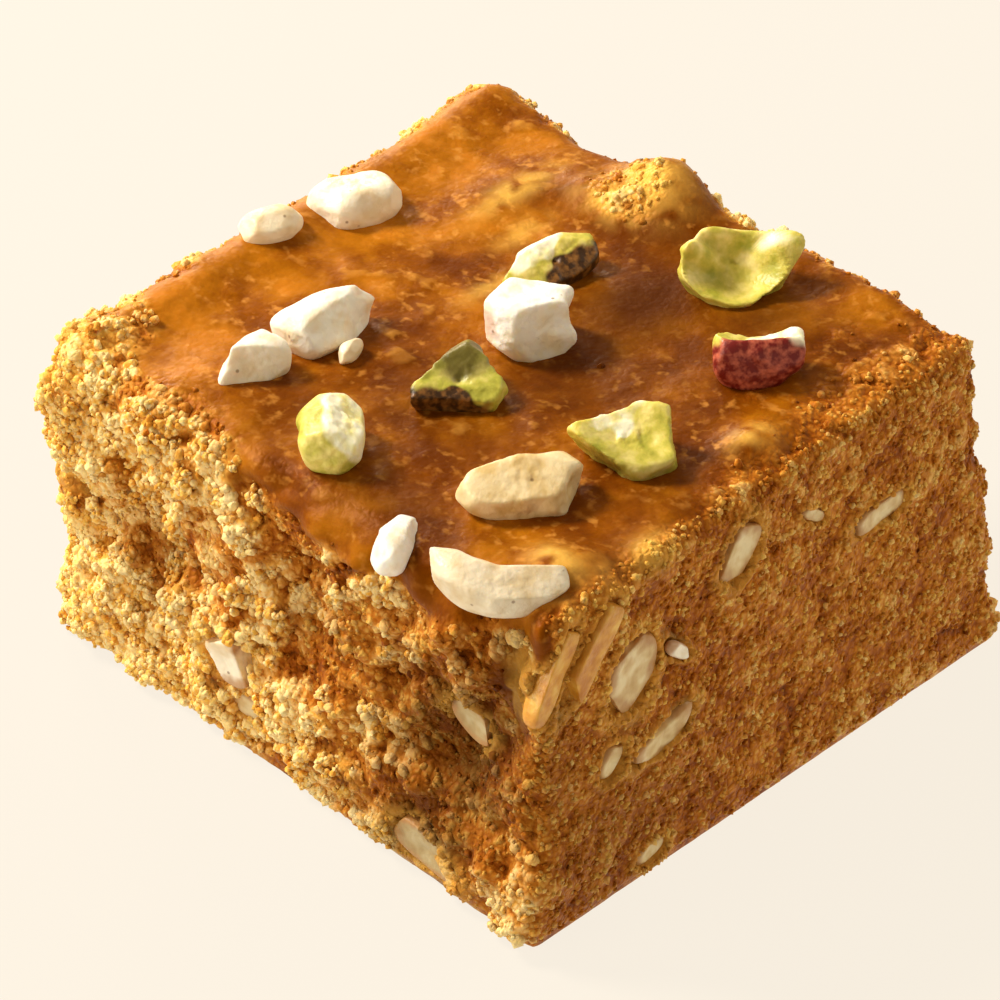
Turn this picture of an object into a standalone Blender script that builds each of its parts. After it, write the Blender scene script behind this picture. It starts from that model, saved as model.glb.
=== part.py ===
"""A hand-cut square of crumbly barfi, pressed smooth on top and set with broken cashews and pistachios.

Run it with: blender --background --python part.py
The origin is the centre of the flat base, and +Z is up. The face at -Y is broken and coarse, and the face
at +X is cut and fine. Sizes are in millimetres, and turn to metres where a mesh is made.
"""

import itertools
import math
from dataclasses import dataclass, field

import bmesh
import bpy
import numpy as np
from mathutils import Matrix

MM = 0.001

# Driving sizes of the square.
SIDE = 42.0
HEIGHT = 23.4
TOP_ROUNDING = 2.6
CUT_ROUNDING = 1.6
BASE_ROUNDING = 1.0
SETTING_GAP = 0.35

# The surface's cells along X, Y and Z, which are finest across the broken face, and the sharpest fold that is
# shaded as a round one.
CELLS = (1.6, 2.0, 1.5)
SHARPEST_SMOOTH = math.radians(40)

# How far each corner lies from that of a true square, as (x, y), by its sides in X, Y and Z.
CORNER_SHIFT = {
    (-1, -1, -1): (-1.9, 1.3),
    (1, -1, -1): (0.6, -0.9),
    (1, 1, -1): (2.6, 0.4),
    (-1, 1, -1): (-1.8, 0.4),
    (-1, -1, 1): (0.9, 0.4),
    (1, -1, 1): (-0.5, 0.6),
    (1, 1, 1): (-0.2, -1.1),
    (-1, 1, 1): (-1.8, 0.4),
}

# Lumps and hollows as big as a fingertip: place, the radius along each axis, and how far they stand out.
SWELLINGS = {
    "crumb lump at the back": ((-3.6, 18.0, 23.6), (3.6, 2.7, 5.0), 3.0),
    "its left shoulder": ((-7.5, 15.2, 23.4), (2.6, 1.6, 4.0), 1.0),
    "its back shoulder": ((4.5, 20.6, 23.4), (4.0, 2.6, 3.0), 0.5),
    "left rim": ((-20.5, -2.0, 23.4), (3.4, 34.0, 4.0), 1.1),
    "left rim, near stretch": ((-20.3, -12.5, 23.4), (3.0, 7.5, 3.0), 0.6),
    "left corner": ((-19.8, -19.2, 23.6), (2.8, 2.8, 3.0), 0.8),
    "bulge below the left corner": ((-20.0, -20.4, 17.0), (2.6, 3.0, 3.0), 0.7),
    "back corner": ((-22.0, 20.5, 23.4), (4.5, 4.5, 4.0), 0.7),
    "back rim, right stretch": ((13.0, 20.2, 23.4), (6.5, 2.8, 3.0), 1.1),
    "back rim, left stretch": ((-12.0, 18.6, 23.4), (2.6, 2.6, 3.0), 0.5),
    "raised streak": ((-12.0, 12.5, 23.4), (2.4, 4.6, 4.0), 0.6),
    "near corner mound": ((17.2, -15.6, 23.4), (2.2, 1.7, 3.0), 0.7),
    "right rim shard": ((20.3, -10.4, 23.2), (1.5, 2.0, 2.0), 0.9),
    "right rim grain": ((17.6, 1.5, 23.4), (1.4, 1.9, 3.0), 0.6),
    "front left bulge": ((-19.6, -20.6, 20.0), (2.4, 3.0, 2.0), 0.9),
    "front hollow": ((14.0, -20.4, 10.0), (4.2, 4.0, 4.6), -1.9),
    "front hollow, upper end": ((17.6, -20.4, 16.2), (2.2, 3.0, 2.6), -1.1),
    "front dent": ((2.0, -20.6, 15.0), (3.4, 3.0, 2.6), -0.9),
    "front left dent": ((-13.0, -20.6, 12.0), (3.0, 3.0, 3.6), -0.8),
    "front foot bulge": ((-8.0, -20.6, 4.5), (4.0, 3.0, 2.6), 0.7),
    "near corner foot": ((21.3, -20.0, 5.0), (3.0, 3.0, 4.0), 0.5),
    "back dent": ((-12.5, 21.0, 22.0), (2.2, 3.0, 2.4), -0.9),
    "sag of the pressed top": ((0.0, 0.0, 23.4), (15.0, 15.0, 3.0), -0.35),
}

# The relief of each face, by its outward direction: the height of its crags, and of its low waves.
CRAG_SIZE = 4.4
WAVE_SIZE = 9.0
FACE_RELIEF = {
    (0, -1, 0): (1.60, 0.50),
    (0, 1, 0): (1.00, 0.45),
    (-1, 0, 0): (0.85, 0.40),
    (1, 0, 0): (0.22, 0.30),
    (0, 0, 1): (0.10, 0.42),
}


def lattice_random(cells, seed):
    """A repeatable number from 0 to 1 for each whole-number cell."""
    x, y, z = (cells[..., axis].astype(np.uint32) for axis in range(3))
    mixed = x * np.uint32(73856093) ^ y * np.uint32(19349663) ^ z * np.uint32(83492791)
    mixed = mixed + np.uint32(seed * 1013904223 % 2**32)
    mixed = (mixed ^ (mixed >> np.uint32(15))) * np.uint32(2246822519)
    mixed = (mixed ^ (mixed >> np.uint32(13))) * np.uint32(3266489917)
    return (mixed ^ (mixed >> np.uint32(16))) / 2.0**32


def smooth_noise(points, size, seed):
    """Gradient noise from about -1 to 1, with lumps of the given size."""
    scaled = points / size
    cell = np.floor(scaled).astype(np.int64)
    inside = scaled - cell
    fade = inside**3 * (inside * (inside * 6 - 15) + 10)
    total = np.zeros(len(points))
    for corner in itertools.product((0, 1), repeat=3):
        corner = np.array(corner)
        slopes = [lattice_random(cell + corner, seed + axis) * 2 - 1 for axis in range(3)]
        weight = np.prod(np.where(corner == 1, fade, 1 - fade), axis=1)
        total += weight * np.sum(np.stack(slopes, axis=1) * (inside - corner), axis=1)
    return total * 1.7


def packed_lumps(points, size, seed):
    """Rounded lumps packed side by side: 1 at the crown of each, 0 in the crevices between them."""
    scaled = points / size
    cell = np.floor(scaled).astype(np.int64)
    nearest = np.full(len(points), np.inf)
    for step in itertools.product((-1, 0, 1), repeat=3):
        neighbour = cell + np.array(step)
        crown = neighbour + np.stack([lattice_random(neighbour, seed + axis) for axis in range(3)], axis=1)
        nearest = np.minimum(nearest, np.sum((scaled - crown) ** 2, axis=1))
    return np.clip(1 - nearest / 0.8, 0, 1)


def smooth_step(low, high, value):
    share = np.clip((value - low) / (high - low), 0, 1)
    return share * share * (3 - 2 * share)


def block_surface(cube):
    """Points of the barfi's surface, from points on the surface of a cube of half side 1.

    The cube is stretched to the square's size, its edges are rounded, its corners go where the knife left
    them, and the relief is added along the outward direction. The base stays flat.
    """
    half = np.array([SIDE, SIDE, HEIGHT]) / 2
    height_share = smooth_step(-1, 1, cube[:, 2:3])
    rounding = BASE_ROUNDING + (TOP_ROUNDING - BASE_ROUNDING) * height_share
    rounding = rounding - (TOP_ROUNDING - CUT_ROUNDING) * smooth_step(0.9, 1.0, cube[:, :1]) * height_share
    core = np.clip(cube * half, rounding - half, half - rounding)
    outward = cube * half - core
    outward /= np.linalg.norm(outward, axis=1, keepdims=True)
    points = core + rounding * outward
    share = points / half
    shift = np.zeros((len(points), 2))
    for corner, moved in CORNER_SHIFT.items():
        weight = np.prod((1 + share * np.array(corner)) / 2, axis=1)
        shift += weight[:, None] * np.array(moved)
    points[:, :2] += shift
    points[:, 2] += HEIGHT / 2
    points += outward * relief_height(points, outward)[:, None]
    points[:, 2] = np.maximum(points[:, 2], 0)
    points[cube[:, 2] <= -1, 2] = 0
    return points


def relief_height(points, outward):
    """How far each surface point stands out: crags and waves by face, then the named lumps and hollows."""
    crags = packed_lumps(points, CRAG_SIZE, 11) - 0.55 + 0.5 * smooth_noise(points, CRAG_SIZE * 0.6, 5)
    waves = smooth_noise(points, WAVE_SIZE, 23)
    height = np.zeros(len(points))
    for face, (crag, wave) in FACE_RELIEF.items():
        facing = np.clip(outward @ np.array(face), 0, 1) ** 2
        height += facing * (crag * crags + wave * waves)
    for place, radii, rise in SWELLINGS.values():
        spread = np.sum(((points - np.array(place)) / np.array(radii)) ** 2, axis=1)
        height += rise * np.exp(-spread)
    return height * smooth_step(0.0, 1.5, points[:, 2])


# Each face of the square: the cube coordinate that it holds, at which end, and the two others.
FACES = {"top": (2, 1, (0, 1)), "right": (0, 1, (1, 2)), "front": (1, -1, (0, 2))}


def point_on_block(face, across, up):
    """The surface point of a face that has the two other coordinates asked for, closed in on by steps."""
    held, end, sought = FACES[face]
    half = np.array([SIDE, SIDE, HEIGHT]) / 2
    target = np.array([across, up], float)
    cube = np.zeros((1, 3))
    cube[0, held] = end
    for _ in range(12):
        missed = target - block_surface(cube)[0, list(sought)]
        for axis, miss in zip(sought, missed):
            cube[0, axis] = np.clip(cube[0, axis] + 0.8 * miss / half[axis], -1, 1)
    return block_surface(cube)[0]


@dataclass
class Nut:
    """A broken nut: a rounded body, flat breaks across it, and how it lies on or in the square."""

    kind: str
    face: str
    place: tuple
    rise: float
    half: tuple
    turn: float
    lean: tuple = (0.0, 0.0)
    breaks: list = field(default_factory=list)
    swells: list = field(default_factory=list)
    squareness: float = 2.3
    bend: float = 0.0
    hollow: float = 0.0
    fineness: int = 3


# Place is (x, y) on the top, (y, z) on the right and (x, z) on the front, and rise is from the surface there
# to the nut's middle. Turn is in degrees about the face's outward axis, and lean is (nose up, rolled).
# Each break is a direction from the nut's middle, and how far off the nut ends there. Each swell is a
# direction, its spread in degrees, and how far the surface rises there, or sinks where that is below zero.
NUTS = {
    "cashew_wedge": Nut(
        "cashew", "top", (-9.1, -7.9), rise=1.0, half=(4.1, 2.1, 1.7), turn=82, lean=(5, -8),
        breaks=[((-1, 0.1, 0.12), 2.9), ((0.52, -0.85, 0.2), 1.6), ((0.5, 0.85, 0.25), 1.75),
            ((0, -0.9, 0.42), 1.6)],
        swells=[((1, -0.05, 0.15), 16, 1.2), ((-0.85, 0.5, 0.3), 18, 0.35), ((-0.9, -0.4, 0.3), 18, -0.35)],
    ),
    "cashew_tooth": Nut(
        "cashew", "top", (-9.5, -13.6), rise=0.85, half=(3.4, 1.75, 1.5), turn=80, lean=(-4, -6),
        breaks=[((1, 0.05, 0.05), 1.8), ((-0.45, 0.88, 0.25), 1.05), ((-0.45, -0.88, 0.2), 1.1)],
        swells=[((-1, 0, -0.1), 20, 0.7), ((0.8, 0.6, 0.3), 18, 0.3)],
    ),
    "cashew_chip": Nut(
        "cashew", "top", (-6.3, -8.5), rise=0.45, half=(1.1, 0.6, 0.65), turn=100, lean=(10, 0),
        breaks=[((0.6, 0.7, 0.2), 0.6), ((-0.7, 0.5, 0.5), 0.75)],
        fineness=2,
    ),
    "pistachio_slab": Nut(
        "pistachio", "top", (0.0, -16.3), rise=1.25, half=(2.85, 1.9, 1.95), turn=133,
        breaks=[((0, -0.5, 0.87), 1.5), ((1, 0.1, 0.1), 2.5), ((-1, 0, 0.1), 2.6)],
        swells=[((0.2, 0.9, 0.3), 20, 0.3), ((-0.6, 0.75, 0.2), 16, 0.3), ((0.75, 0.5, 0.4), 14, -0.3)],
        squareness=3.0,
    ),
    "pistachio_wedge": Nut(
        "pistachio", "top", (1.3, -6.8), rise=0.9, half=(3.9, 2.6, 1.8), turn=66, lean=(8, 6),
        breaks=[((0, -0.35, 0.93), 0.95), ((-0.55, 0.83, 0), 1.5), ((-0.45, -0.89, 0), 1.6),
            ((1, 0, 0.1), 2.4)],
        swells=[((-1, 0.05, 0.25), 15, 0.9), ((0.5, 0.8, 0.3), 24, 0.5), ((0.8, -0.55, 0), 18, 0.4),
            ((0.1, -0.3, 0.95), 26, -0.35)],
    ),
    "cashew_cube": Nut(
        "cashew", "top", (0.4, 0.55), rise=1.65, half=(3.1, 2.5, 2.3), turn=43, lean=(0, 4),
        breaks=[((1, 0.1, 0.1), 2.6), ((-0.75, -0.6, 0.25), 2.45), ((0.35, -0.9, 0.2), 1.7),
            ((0, 0.15, 1), 2.05), ((-0.7, 0.6, 0.3), 2.65), ((0.7, 0.55, 0.5), 2.65)],
        swells=[((0.8, 0.45, 0.45), 14, 0.8), ((0.85, -0.4, -0.1), 15, 0.4), ((1, 0.05, 0.2), 14, -0.35),
            ((-0.4, 0.6, 0.7), 14, 0.35), ((-0.55, -0.1, 0.85), 16, -0.25)],
        squareness=2.8,
    ),
    "pistachio_sliver": Nut(
        "pistachio", "top", (-3.6, 6.9), rise=0.85, half=(3.7, 1.75, 1.5), turn=74, lean=(6, 14),
        breaks=[((0, -0.3, 0.95), 0.9), ((1, 0, 0.3), 3.1), ((-0.7, 0.7, 0), 2.2)],
        swells=[((-1, -0.1, 0.1), 20, 0.6), ((0.85, 0.2, 0.6), 20, 0.6), ((0.15, -0.3, 0.95), 18, -0.4)],
    ),
    "pistachio_cup": Nut(
        "pistachio", "top", (6.2, 13.4), rise=1.35, half=(3.7, 2.8, 2.7), turn=40, lean=(-3, 42),
        breaks=[((0, 0.12, 1), 0.85), ((-0.86, 0.5, 0.1), 3.0), ((0.8, -0.55, 0), 2.9)],
        swells=[((-0.92, 0.32, 0.45), 14, 1.9), ((0.9, 0.5, 0.25), 16, 1.4), ((-0.85, -0.6, 0), 26, -0.5),
            ((0.75, -0.75, 0), 26, -0.5), ((0.1, 0.9, 0.4), 22, -0.55)],
        hollow=1.5,
    ),
    "pistachio_red": Nut(
        "pistachio", "top", (13.5, 7.4), rise=1.35, half=(3.0, 1.9, 2.4), turn=49, lean=(4, -16),
        breaks=[((0.1, 0.2, 1), 1.4), ((0, 1, 0.1), 1.3), ((1, 0.1, 0), 2.5)],
        swells=[((0.85, 0.2, 0.6), 18, 0.75), ((-0.85, 0.1, 0.55), 18, 0.35), ((0.85, -0.3, -0.6), 26, -0.6),
            ((-0.1, -0.9, 0.3), 16, 0.25)],
        squareness=2.4, bend=-0.8, hollow=0.8,
    ),
    "pistachio_spout": Nut(
        "pistachio", "top", (13.3, -4.8), rise=1.25, half=(3.5, 2.6, 2.4), turn=40, lean=(-4, 24),
        breaks=[((0.05, 0.05, 1), 1.05), ((-0.6, -0.8, -0.15), 1.85), ((-0.5, 0.85, 0), 1.85),
            ((1, 0.2, 0.2), 2.7)],
        swells=[((-1, 0, 0.2), 16, 0.4), ((0.6, 0.75, 0.2), 18, 0.4), ((0.1, -0.9, -0.3), 16, 0.5),
            ((0.75, -0.55, 0), 14, -0.3)],
        squareness=2.4, hollow=0.55,
    ),
    "cashew_boat": Nut(
        "cashew", "top", (11.4, -12.1), rise=1.15, half=(3.75, 2.05, 1.75), turn=47, lean=(0, 14),
        breaks=[((0, -0.25, 0.97), 1.3), ((-0.85, 0.5, 0.1), 3.0), ((0.9, -0.42, 0.1), 2.9),
            ((0.1, -0.95, 0.1), 1.75), ((-0.3, 0.9, 0.35), 1.8)],
        swells=[((0.9, 0.45, 0.2), 14, 0.8), ((0.4, 0.85, 0.35), 16, -0.45), ((1, -0.05, 0.1), 13, -0.35),
            ((0.75, -0.65, 0), 13, 0.5), ((-1, -0.15, 0), 18, 0.25)],
        squareness=2.9,
    ),
    "cashew_nib": Nut(
        "cashew", "top", (8.5, -21.4), rise=0.15, half=(2.9, 1.2, 1.4), turn=118, lean=(-14, 8),
        breaks=[((1, 0.3, 0.1), 2.3), ((0.1, -0.8, 0.6), 1.2), ((-1, 0.4, 0), 2.5)],
        swells=[((0.75, -0.6, 0.3), 18, 0.55), ((-0.5, 0.8, 0), 22, -0.25), ((0.6, 0.75, 0.2), 16, 0.25)],
        squareness=2.6,
    ),
    "cashew_hook": Nut(
        "cashew", "top", (16.0, -19.1), rise=0.7, half=(4.4, 1.45, 1.5), turn=36, lean=(-5, 10),
        breaks=[((1, 0, 0), 4.2), ((-0.9, -0.4, 0), 3.7), ((0.12, -0.2, 0.97), 1.15)],
        swells=[((0.1, 0.9, 0.4), 26, -0.4), ((-0.92, 0.35, 0.25), 14, 0.6), ((-0.72, 0.62, 0.3), 10, -0.45),
            ((0.95, -0.1, 0), 20, 0.35), ((0.1, -0.9, 0.1), 22, 0.3)],
        squareness=2.6, bend=1.5,
    ),
    "cashew_disc": Nut(
        "cashew", "top", (-17.9, 3.6), rise=0.1, half=(3.15, 2.5, 1.8), turn=70, lean=(0, -6),
        breaks=[((-0.9, -0.4, 0.1), 2.7), ((0, 0.1, 1), 1.4)],
        swells=[((0.8, -0.5, 0.2), 20, 0.4), ((-0.3, 0.9, 0.3), 20, 0.3), ((0.1, -0.9, 0.3), 18, -0.3)],
    ),
    "cashew_pebble": Nut(
        "cashew", "top", (-19.2, -2.7), rise=0.1, half=(2.2, 1.5, 1.3), turn=74, lean=(0, -10),
        breaks=[((0.8, 0.5, 0.3), 1.8)],
        fineness=2,
    ),
    "right_shard": Nut(
        "inlay", "right", (-3.2, 19.5), rise=-0.5, half=(2.35, 1.55, 1.2), turn=48,
        breaks=[((0, 0, 1), 0.75), ((1, 0.35, 0), 1.9), ((-0.8, -0.6, 0), 1.8), ((-0.2, 1, 0), 1.2)],
        squareness=2.8, fineness=2,
    ),
    "right_rod": Nut(
        "inlay", "right", (10.0, 15.4), rise=-0.5, half=(2.7, 0.95, 1.1), turn=4,
        breaks=[((0, 0, 1), 0.75), ((1, 0, 0), 2.3), ((-1, 0, 0), 2.4)],
        squareness=3.0, fineness=2,
    ),
    "right_fleck": Nut(
        "inlay", "right", (3.8, 18.4), rise=-0.3, half=(1.5, 0.6, 0.7), turn=-35,
        breaks=[((0, 0, 1), 0.5)],
        fineness=2,
    ),
    "right_chunk": Nut(
        "inlay", "right", (-12.9, 15.9), rise=-0.55, half=(2.9, 2.3, 1.5), turn=74,
        breaks=[((0, 0, 1), 0.95), ((0.8, 0.6, 0), 2.2), ((-0.7, 0.7, 0), 2.1), ((-0.6, -0.8, 0), 1.9)],
        squareness=2.6, fineness=2,
    ),
    "right_flake": Nut(
        "cashew", "right", (-9.0, 15.6), rise=0.0, half=(1.5, 0.65, 0.6), turn=-42,
        breaks=[((0, 0, 1), 0.45), ((0.7, 0.7, 0), 0.75)],
        fineness=2,
    ),
    "right_crescent": Nut(
        "inlay", "right", (-10.6, 10.2), rise=-0.5, half=(3.2, 1.05, 1.1), turn=12,
        breaks=[((0, 0, 1), 0.75), ((-1, 0.2, 0), 2.6)],
        bend=0.7, fineness=2,
    ),
    "right_heel": Nut(
        "inlay", "right", (-14.9, 10.7), rise=-0.5, half=(1.5, 1.0, 0.9), turn=50,
        breaks=[((0, 0, 1), 0.7), ((1, 0.3, 0), 1.1)],
        fineness=2,
    ),
    "right_foot": Nut(
        "inlay", "right", (-11.6, 1.7), rise=-0.5, half=(1.6, 0.85, 0.9), turn=10,
        breaks=[((0, 0, 1), 0.7)],
        fineness=2,
    ),
    "corner_splinter": Nut(
        "candied", "right", (-16.5, 19.4), rise=-0.1, half=(4.1, 1.05, 1.1), turn=52,
        breaks=[((0, 0, 1), 0.65), ((1, 0, 0), 3.5), ((-0.8, 0.6, 0), 1.9)],
        squareness=3.0, fineness=2,
    ),
    "corner_sliver": Nut(
        "candied", "right", (-19.2, 19.4), rise=-0.2, half=(3.6, 0.85, 1.0), turn=60,
        breaks=[((0, 0, 1), 0.6), ((1, 0, 0), 3.0)],
        squareness=3.0, fineness=2,
    ),
    "front_wedge": Nut(
        "cashew", "front", (-5.0, 7.6), rise=-0.1, half=(2.4, 2.1, 1.2), turn=-28,
        breaks=[((0.2, 0, 1), 0.7), ((-0.6, -0.8, 0), 1.2), ((0.75, 0.65, 0), 1.2), ((-0.8, 0.6, 0), 1.5)],
        fineness=2,
    ),
    "front_pebble": Nut(
        "inlay", "front", (-3.8, 3.7), rise=-0.3, half=(2.1, 1.1, 1.0), turn=12,
        breaks=[((0, 0, 1), 0.7)],
        fineness=2,
    ),
    "front_chip": Nut(
        "inlay", "front", (14.5, 12.7), rise=-0.1, half=(2.0, 1.3, 1.0), turn=-30,
        breaks=[((0, 0, 1), 0.7), ((0.8, 0.6, 0), 1.3)],
        fineness=2,
    ),
    "front_plate": Nut(
        "inlay", "front", (12.2, 2.2), rise=-0.2, half=(3.2, 1.5, 1.0), turn=-12,
        breaks=[((0, 0, 1), 0.7), ((-0.9, 0.3, 0), 2.6), ((0.7, 0.7, 0), 1.9)],
        squareness=2.8, fineness=2,
    ),
}


def unit(vector):
    vector = np.array(vector, float)
    return vector / np.linalg.norm(vector)


def nut_form(nut, directions):
    """A nut's surface about its own middle: for each direction, the soft least of the body and its breaks.

    The body is a rounded box. Swells then draw it out into horns or dent it, a bend moves the ends
    sideways, and a hollow sinks the middle of its top.
    """
    half = np.array(nut.half)
    sharpness = 14
    body = np.sum(np.abs(directions / half) ** nut.squareness, axis=1) ** (-1 / nut.squareness)
    closeness = body**-sharpness
    for direction, distance in nut.breaks:
        facing = np.clip(directions @ unit(direction), 1e-6, None)
        closeness += (distance / facing) ** -sharpness
    radius = closeness ** (-1 / sharpness)
    for direction, spread, rise in nut.swells:
        angle = np.degrees(np.arccos(np.clip(directions @ unit(direction), -1, 1)))
        radius += rise * np.exp(-((angle / spread) ** 2))
    points = directions * radius[:, None]
    share = points / half
    points[:, 1] += nut.bend * (share[:, 0] ** 2 - 0.4)
    dish = np.clip(1 - 1.25 * np.sum(share[:, :2] ** 2, axis=1), 0, 1)
    points[:, 2] -= nut.hollow * dish * smooth_step(0.0, 0.3, directions[:, 2])
    return points


def face_axes(face, turn):
    """A nut's own axes on a face, as columns: along it, across it, and straight out of the face."""
    angle = math.radians(turn)
    along = {
        "top": (math.cos(angle), math.sin(angle), 0),
        "right": (0, math.cos(angle), math.sin(angle)),
        "front": (math.cos(angle), 0, math.sin(angle)),
    }[face]
    out = {"top": (0, 0, 1), "right": (1, 0, 0), "front": (0, -1, 0)}[face]
    return np.stack([along, np.cross(out, along), out], axis=1)


def nut_matrix(nut):
    """Where a nut lies: turned and leaned on its face, with its middle risen from the surface."""
    axes = face_axes(nut.face, nut.turn)
    middle = point_on_block(nut.face, *nut.place) + nut.rise * axes[:, 2]
    nose_up, rolled = (math.radians(degrees) for degrees in nut.lean)
    lean = Matrix.Rotation(-nose_up, 3, "Y") @ Matrix.Rotation(rolled, 3, "X")
    turned = Matrix(axes.tolist()) @ lean
    return Matrix.Translation(middle * MM) @ turned.to_4x4()


def plain_material(name, colour, roughness):
    material = bpy.data.materials.new(name)
    material.use_nodes = True
    shader = material.node_tree.nodes["Principled BSDF"]
    shader.inputs["Base Color"].default_value = (*colour, 1)
    shader.inputs["Roughness"].default_value = roughness
    material.diffuse_color = (*colour, 1)
    return material


def add_object(name, mesh, collection, material=None):
    mesh.shade_smooth()
    mesh.set_sharp_from_angle(angle=SHARPEST_SMOOTH)
    piece = bpy.data.objects.new(name, mesh)
    collection.objects.link(piece)
    if material:
        mesh.materials.append(material)
    return piece


def make_block(collection, material):
    """The square: a cube cut into cells, moved onto the barfi's surface, on one flat base face."""
    grid = bmesh.new()
    bmesh.ops.create_cube(grid, size=2)
    for axis, length in enumerate((SIDE, SIDE, HEIGHT)):
        lengthwise = [
            edge for edge in grid.edges if abs(edge.verts[0].co[axis] - edge.verts[1].co[axis]) > 0.5
        ]
        cuts = round(length / CELLS[axis]) - 1
        bmesh.ops.subdivide_edges(grid, edges=lengthwise, cuts=cuts, use_grid_fill=True)
    base = [face for face in grid.faces if all(vert.co.z < -0.999 for vert in face.verts)]
    bmesh.ops.dissolve_faces(grid, faces=base, use_verts=True)
    grid.verts.ensure_lookup_table()
    cube = np.array([vert.co for vert in grid.verts])
    for vert, place in zip(grid.verts, block_surface(cube) * MM):
        vert.co = place
    bmesh.ops.recalc_face_normals(grid, faces=grid.faces)
    mesh = bpy.data.meshes.new("barfi_block")
    grid.to_mesh(mesh)
    grid.free()
    return add_object("barfi_block", mesh, collection, material)


def make_nut(name, nut, collection, material):
    ball = bmesh.new()
    bmesh.ops.create_icosphere(ball, subdivisions=nut.fineness, radius=1)
    directions = np.array([vert.co.normalized() for vert in ball.verts])
    for vert, place in zip(ball.verts, nut_form(nut, directions) * MM):
        vert.co = place
    mesh = bpy.data.meshes.new(name)
    ball.to_mesh(mesh)
    ball.free()
    piece = add_object(name, mesh, collection, material)
    piece.matrix_world = nut_matrix(nut)
    return piece


def make_setting(piece, collection):
    """The cutter for the seat a nut has pressed into the square: the nut, grown by the gap on every side."""
    grown = bmesh.new()
    grown.from_mesh(piece.data)
    grown.normal_update()
    for vert in grown.verts:
        vert.co += vert.normal * SETTING_GAP * MM
    mesh = bpy.data.meshes.new(piece.name + "_seat")
    grown.to_mesh(mesh)
    grown.free()
    seat = add_object(mesh.name, mesh, collection)
    seat.matrix_world = piece.matrix_world
    seat.hide_render = True
    seat.display_type = "WIRE"
    return seat


def carve_settings(block, seats):
    cut = block.modifiers.new("nut seats", "BOOLEAN")
    cut.operation = "DIFFERENCE"
    cut.operand_type = "COLLECTION"
    cut.collection = seats
    cut.solver = "EXACT"


def new_collection(name):
    collection = bpy.data.collections.new(name)
    bpy.context.scene.collection.children.link(collection)
    return collection


def main():
    for piece in list(bpy.data.objects):
        bpy.data.objects.remove(piece)
    barfi = new_collection("barfi")
    seats = new_collection("nut seats")
    seats.hide_render = True
    materials = {
        "barfi": plain_material("Ghee-rich barfi", (0.42, 0.15, 0.03), 0.45),
        "cashew": plain_material("Broken cashew", (0.80, 0.66, 0.42), 0.55),
        "pistachio": plain_material("Broken pistachio", (0.42, 0.42, 0.08), 0.50),
        "inlay": plain_material("Ghee-soaked cashew", (0.45, 0.30, 0.15), 0.40),
        "candied": plain_material("Syrup-coated splinter", (0.55, 0.26, 0.06), 0.35),
    }
    block = make_block(barfi, materials["barfi"])
    for name, nut in NUTS.items():
        make_setting(make_nut(name, nut, barfi, materials[nut.kind]), seats)
    carve_settings(block, seats)


main()
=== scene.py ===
"""A square of crumbly barfi, pressed smooth on top, with broken cashews and pistachios set in it.

Lengths are in millimetres and turn to metres where a mesh is made. The square, its large relief and the
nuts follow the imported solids' own formulas and numbers, worked out on finer grids, so each piece lies where
its solid does. The grains, crumbs and small relief are added here.
"""

import itertools
import math
from dataclasses import dataclass, field

import bpy
import numpy as np
from mathutils import Matrix, Vector


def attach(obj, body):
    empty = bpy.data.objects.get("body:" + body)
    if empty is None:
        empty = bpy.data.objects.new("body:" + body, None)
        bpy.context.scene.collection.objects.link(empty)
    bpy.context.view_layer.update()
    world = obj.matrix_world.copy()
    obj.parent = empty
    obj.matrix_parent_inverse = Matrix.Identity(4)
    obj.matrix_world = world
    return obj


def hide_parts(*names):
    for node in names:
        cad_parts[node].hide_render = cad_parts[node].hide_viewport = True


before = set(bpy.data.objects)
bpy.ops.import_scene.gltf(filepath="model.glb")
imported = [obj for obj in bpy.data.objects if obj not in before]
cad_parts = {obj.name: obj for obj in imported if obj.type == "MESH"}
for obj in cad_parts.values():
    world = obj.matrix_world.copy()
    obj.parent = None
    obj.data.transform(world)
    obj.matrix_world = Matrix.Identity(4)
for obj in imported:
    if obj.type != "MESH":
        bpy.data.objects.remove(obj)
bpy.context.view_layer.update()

MM = 0.001

# The square's driving sizes and large relief, as in its solid.
SIDE = 42.0
HEIGHT = 23.4
TOP_ROUNDING = 2.6
CUT_ROUNDING = 1.6
BASE_ROUNDING = 1.0

# How far each corner is moved along X and Y, by the side it lies on along X, Y and Z.
CORNER_SHIFT = {
    (-1, -1, -1): (-1.9, 1.3),
    (1, -1, -1): (0.6, -0.9),
    (1, 1, -1): (2.6, 0.4),
    (-1, 1, -1): (-1.8, 0.4),
    (-1, -1, 1): (0.9, 0.4),
    (1, -1, 1): (-0.5, 0.6),
    (1, 1, 1): (-0.2, -1.1),
    (-1, 1, 1): (-1.8, 0.4),
}

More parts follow.
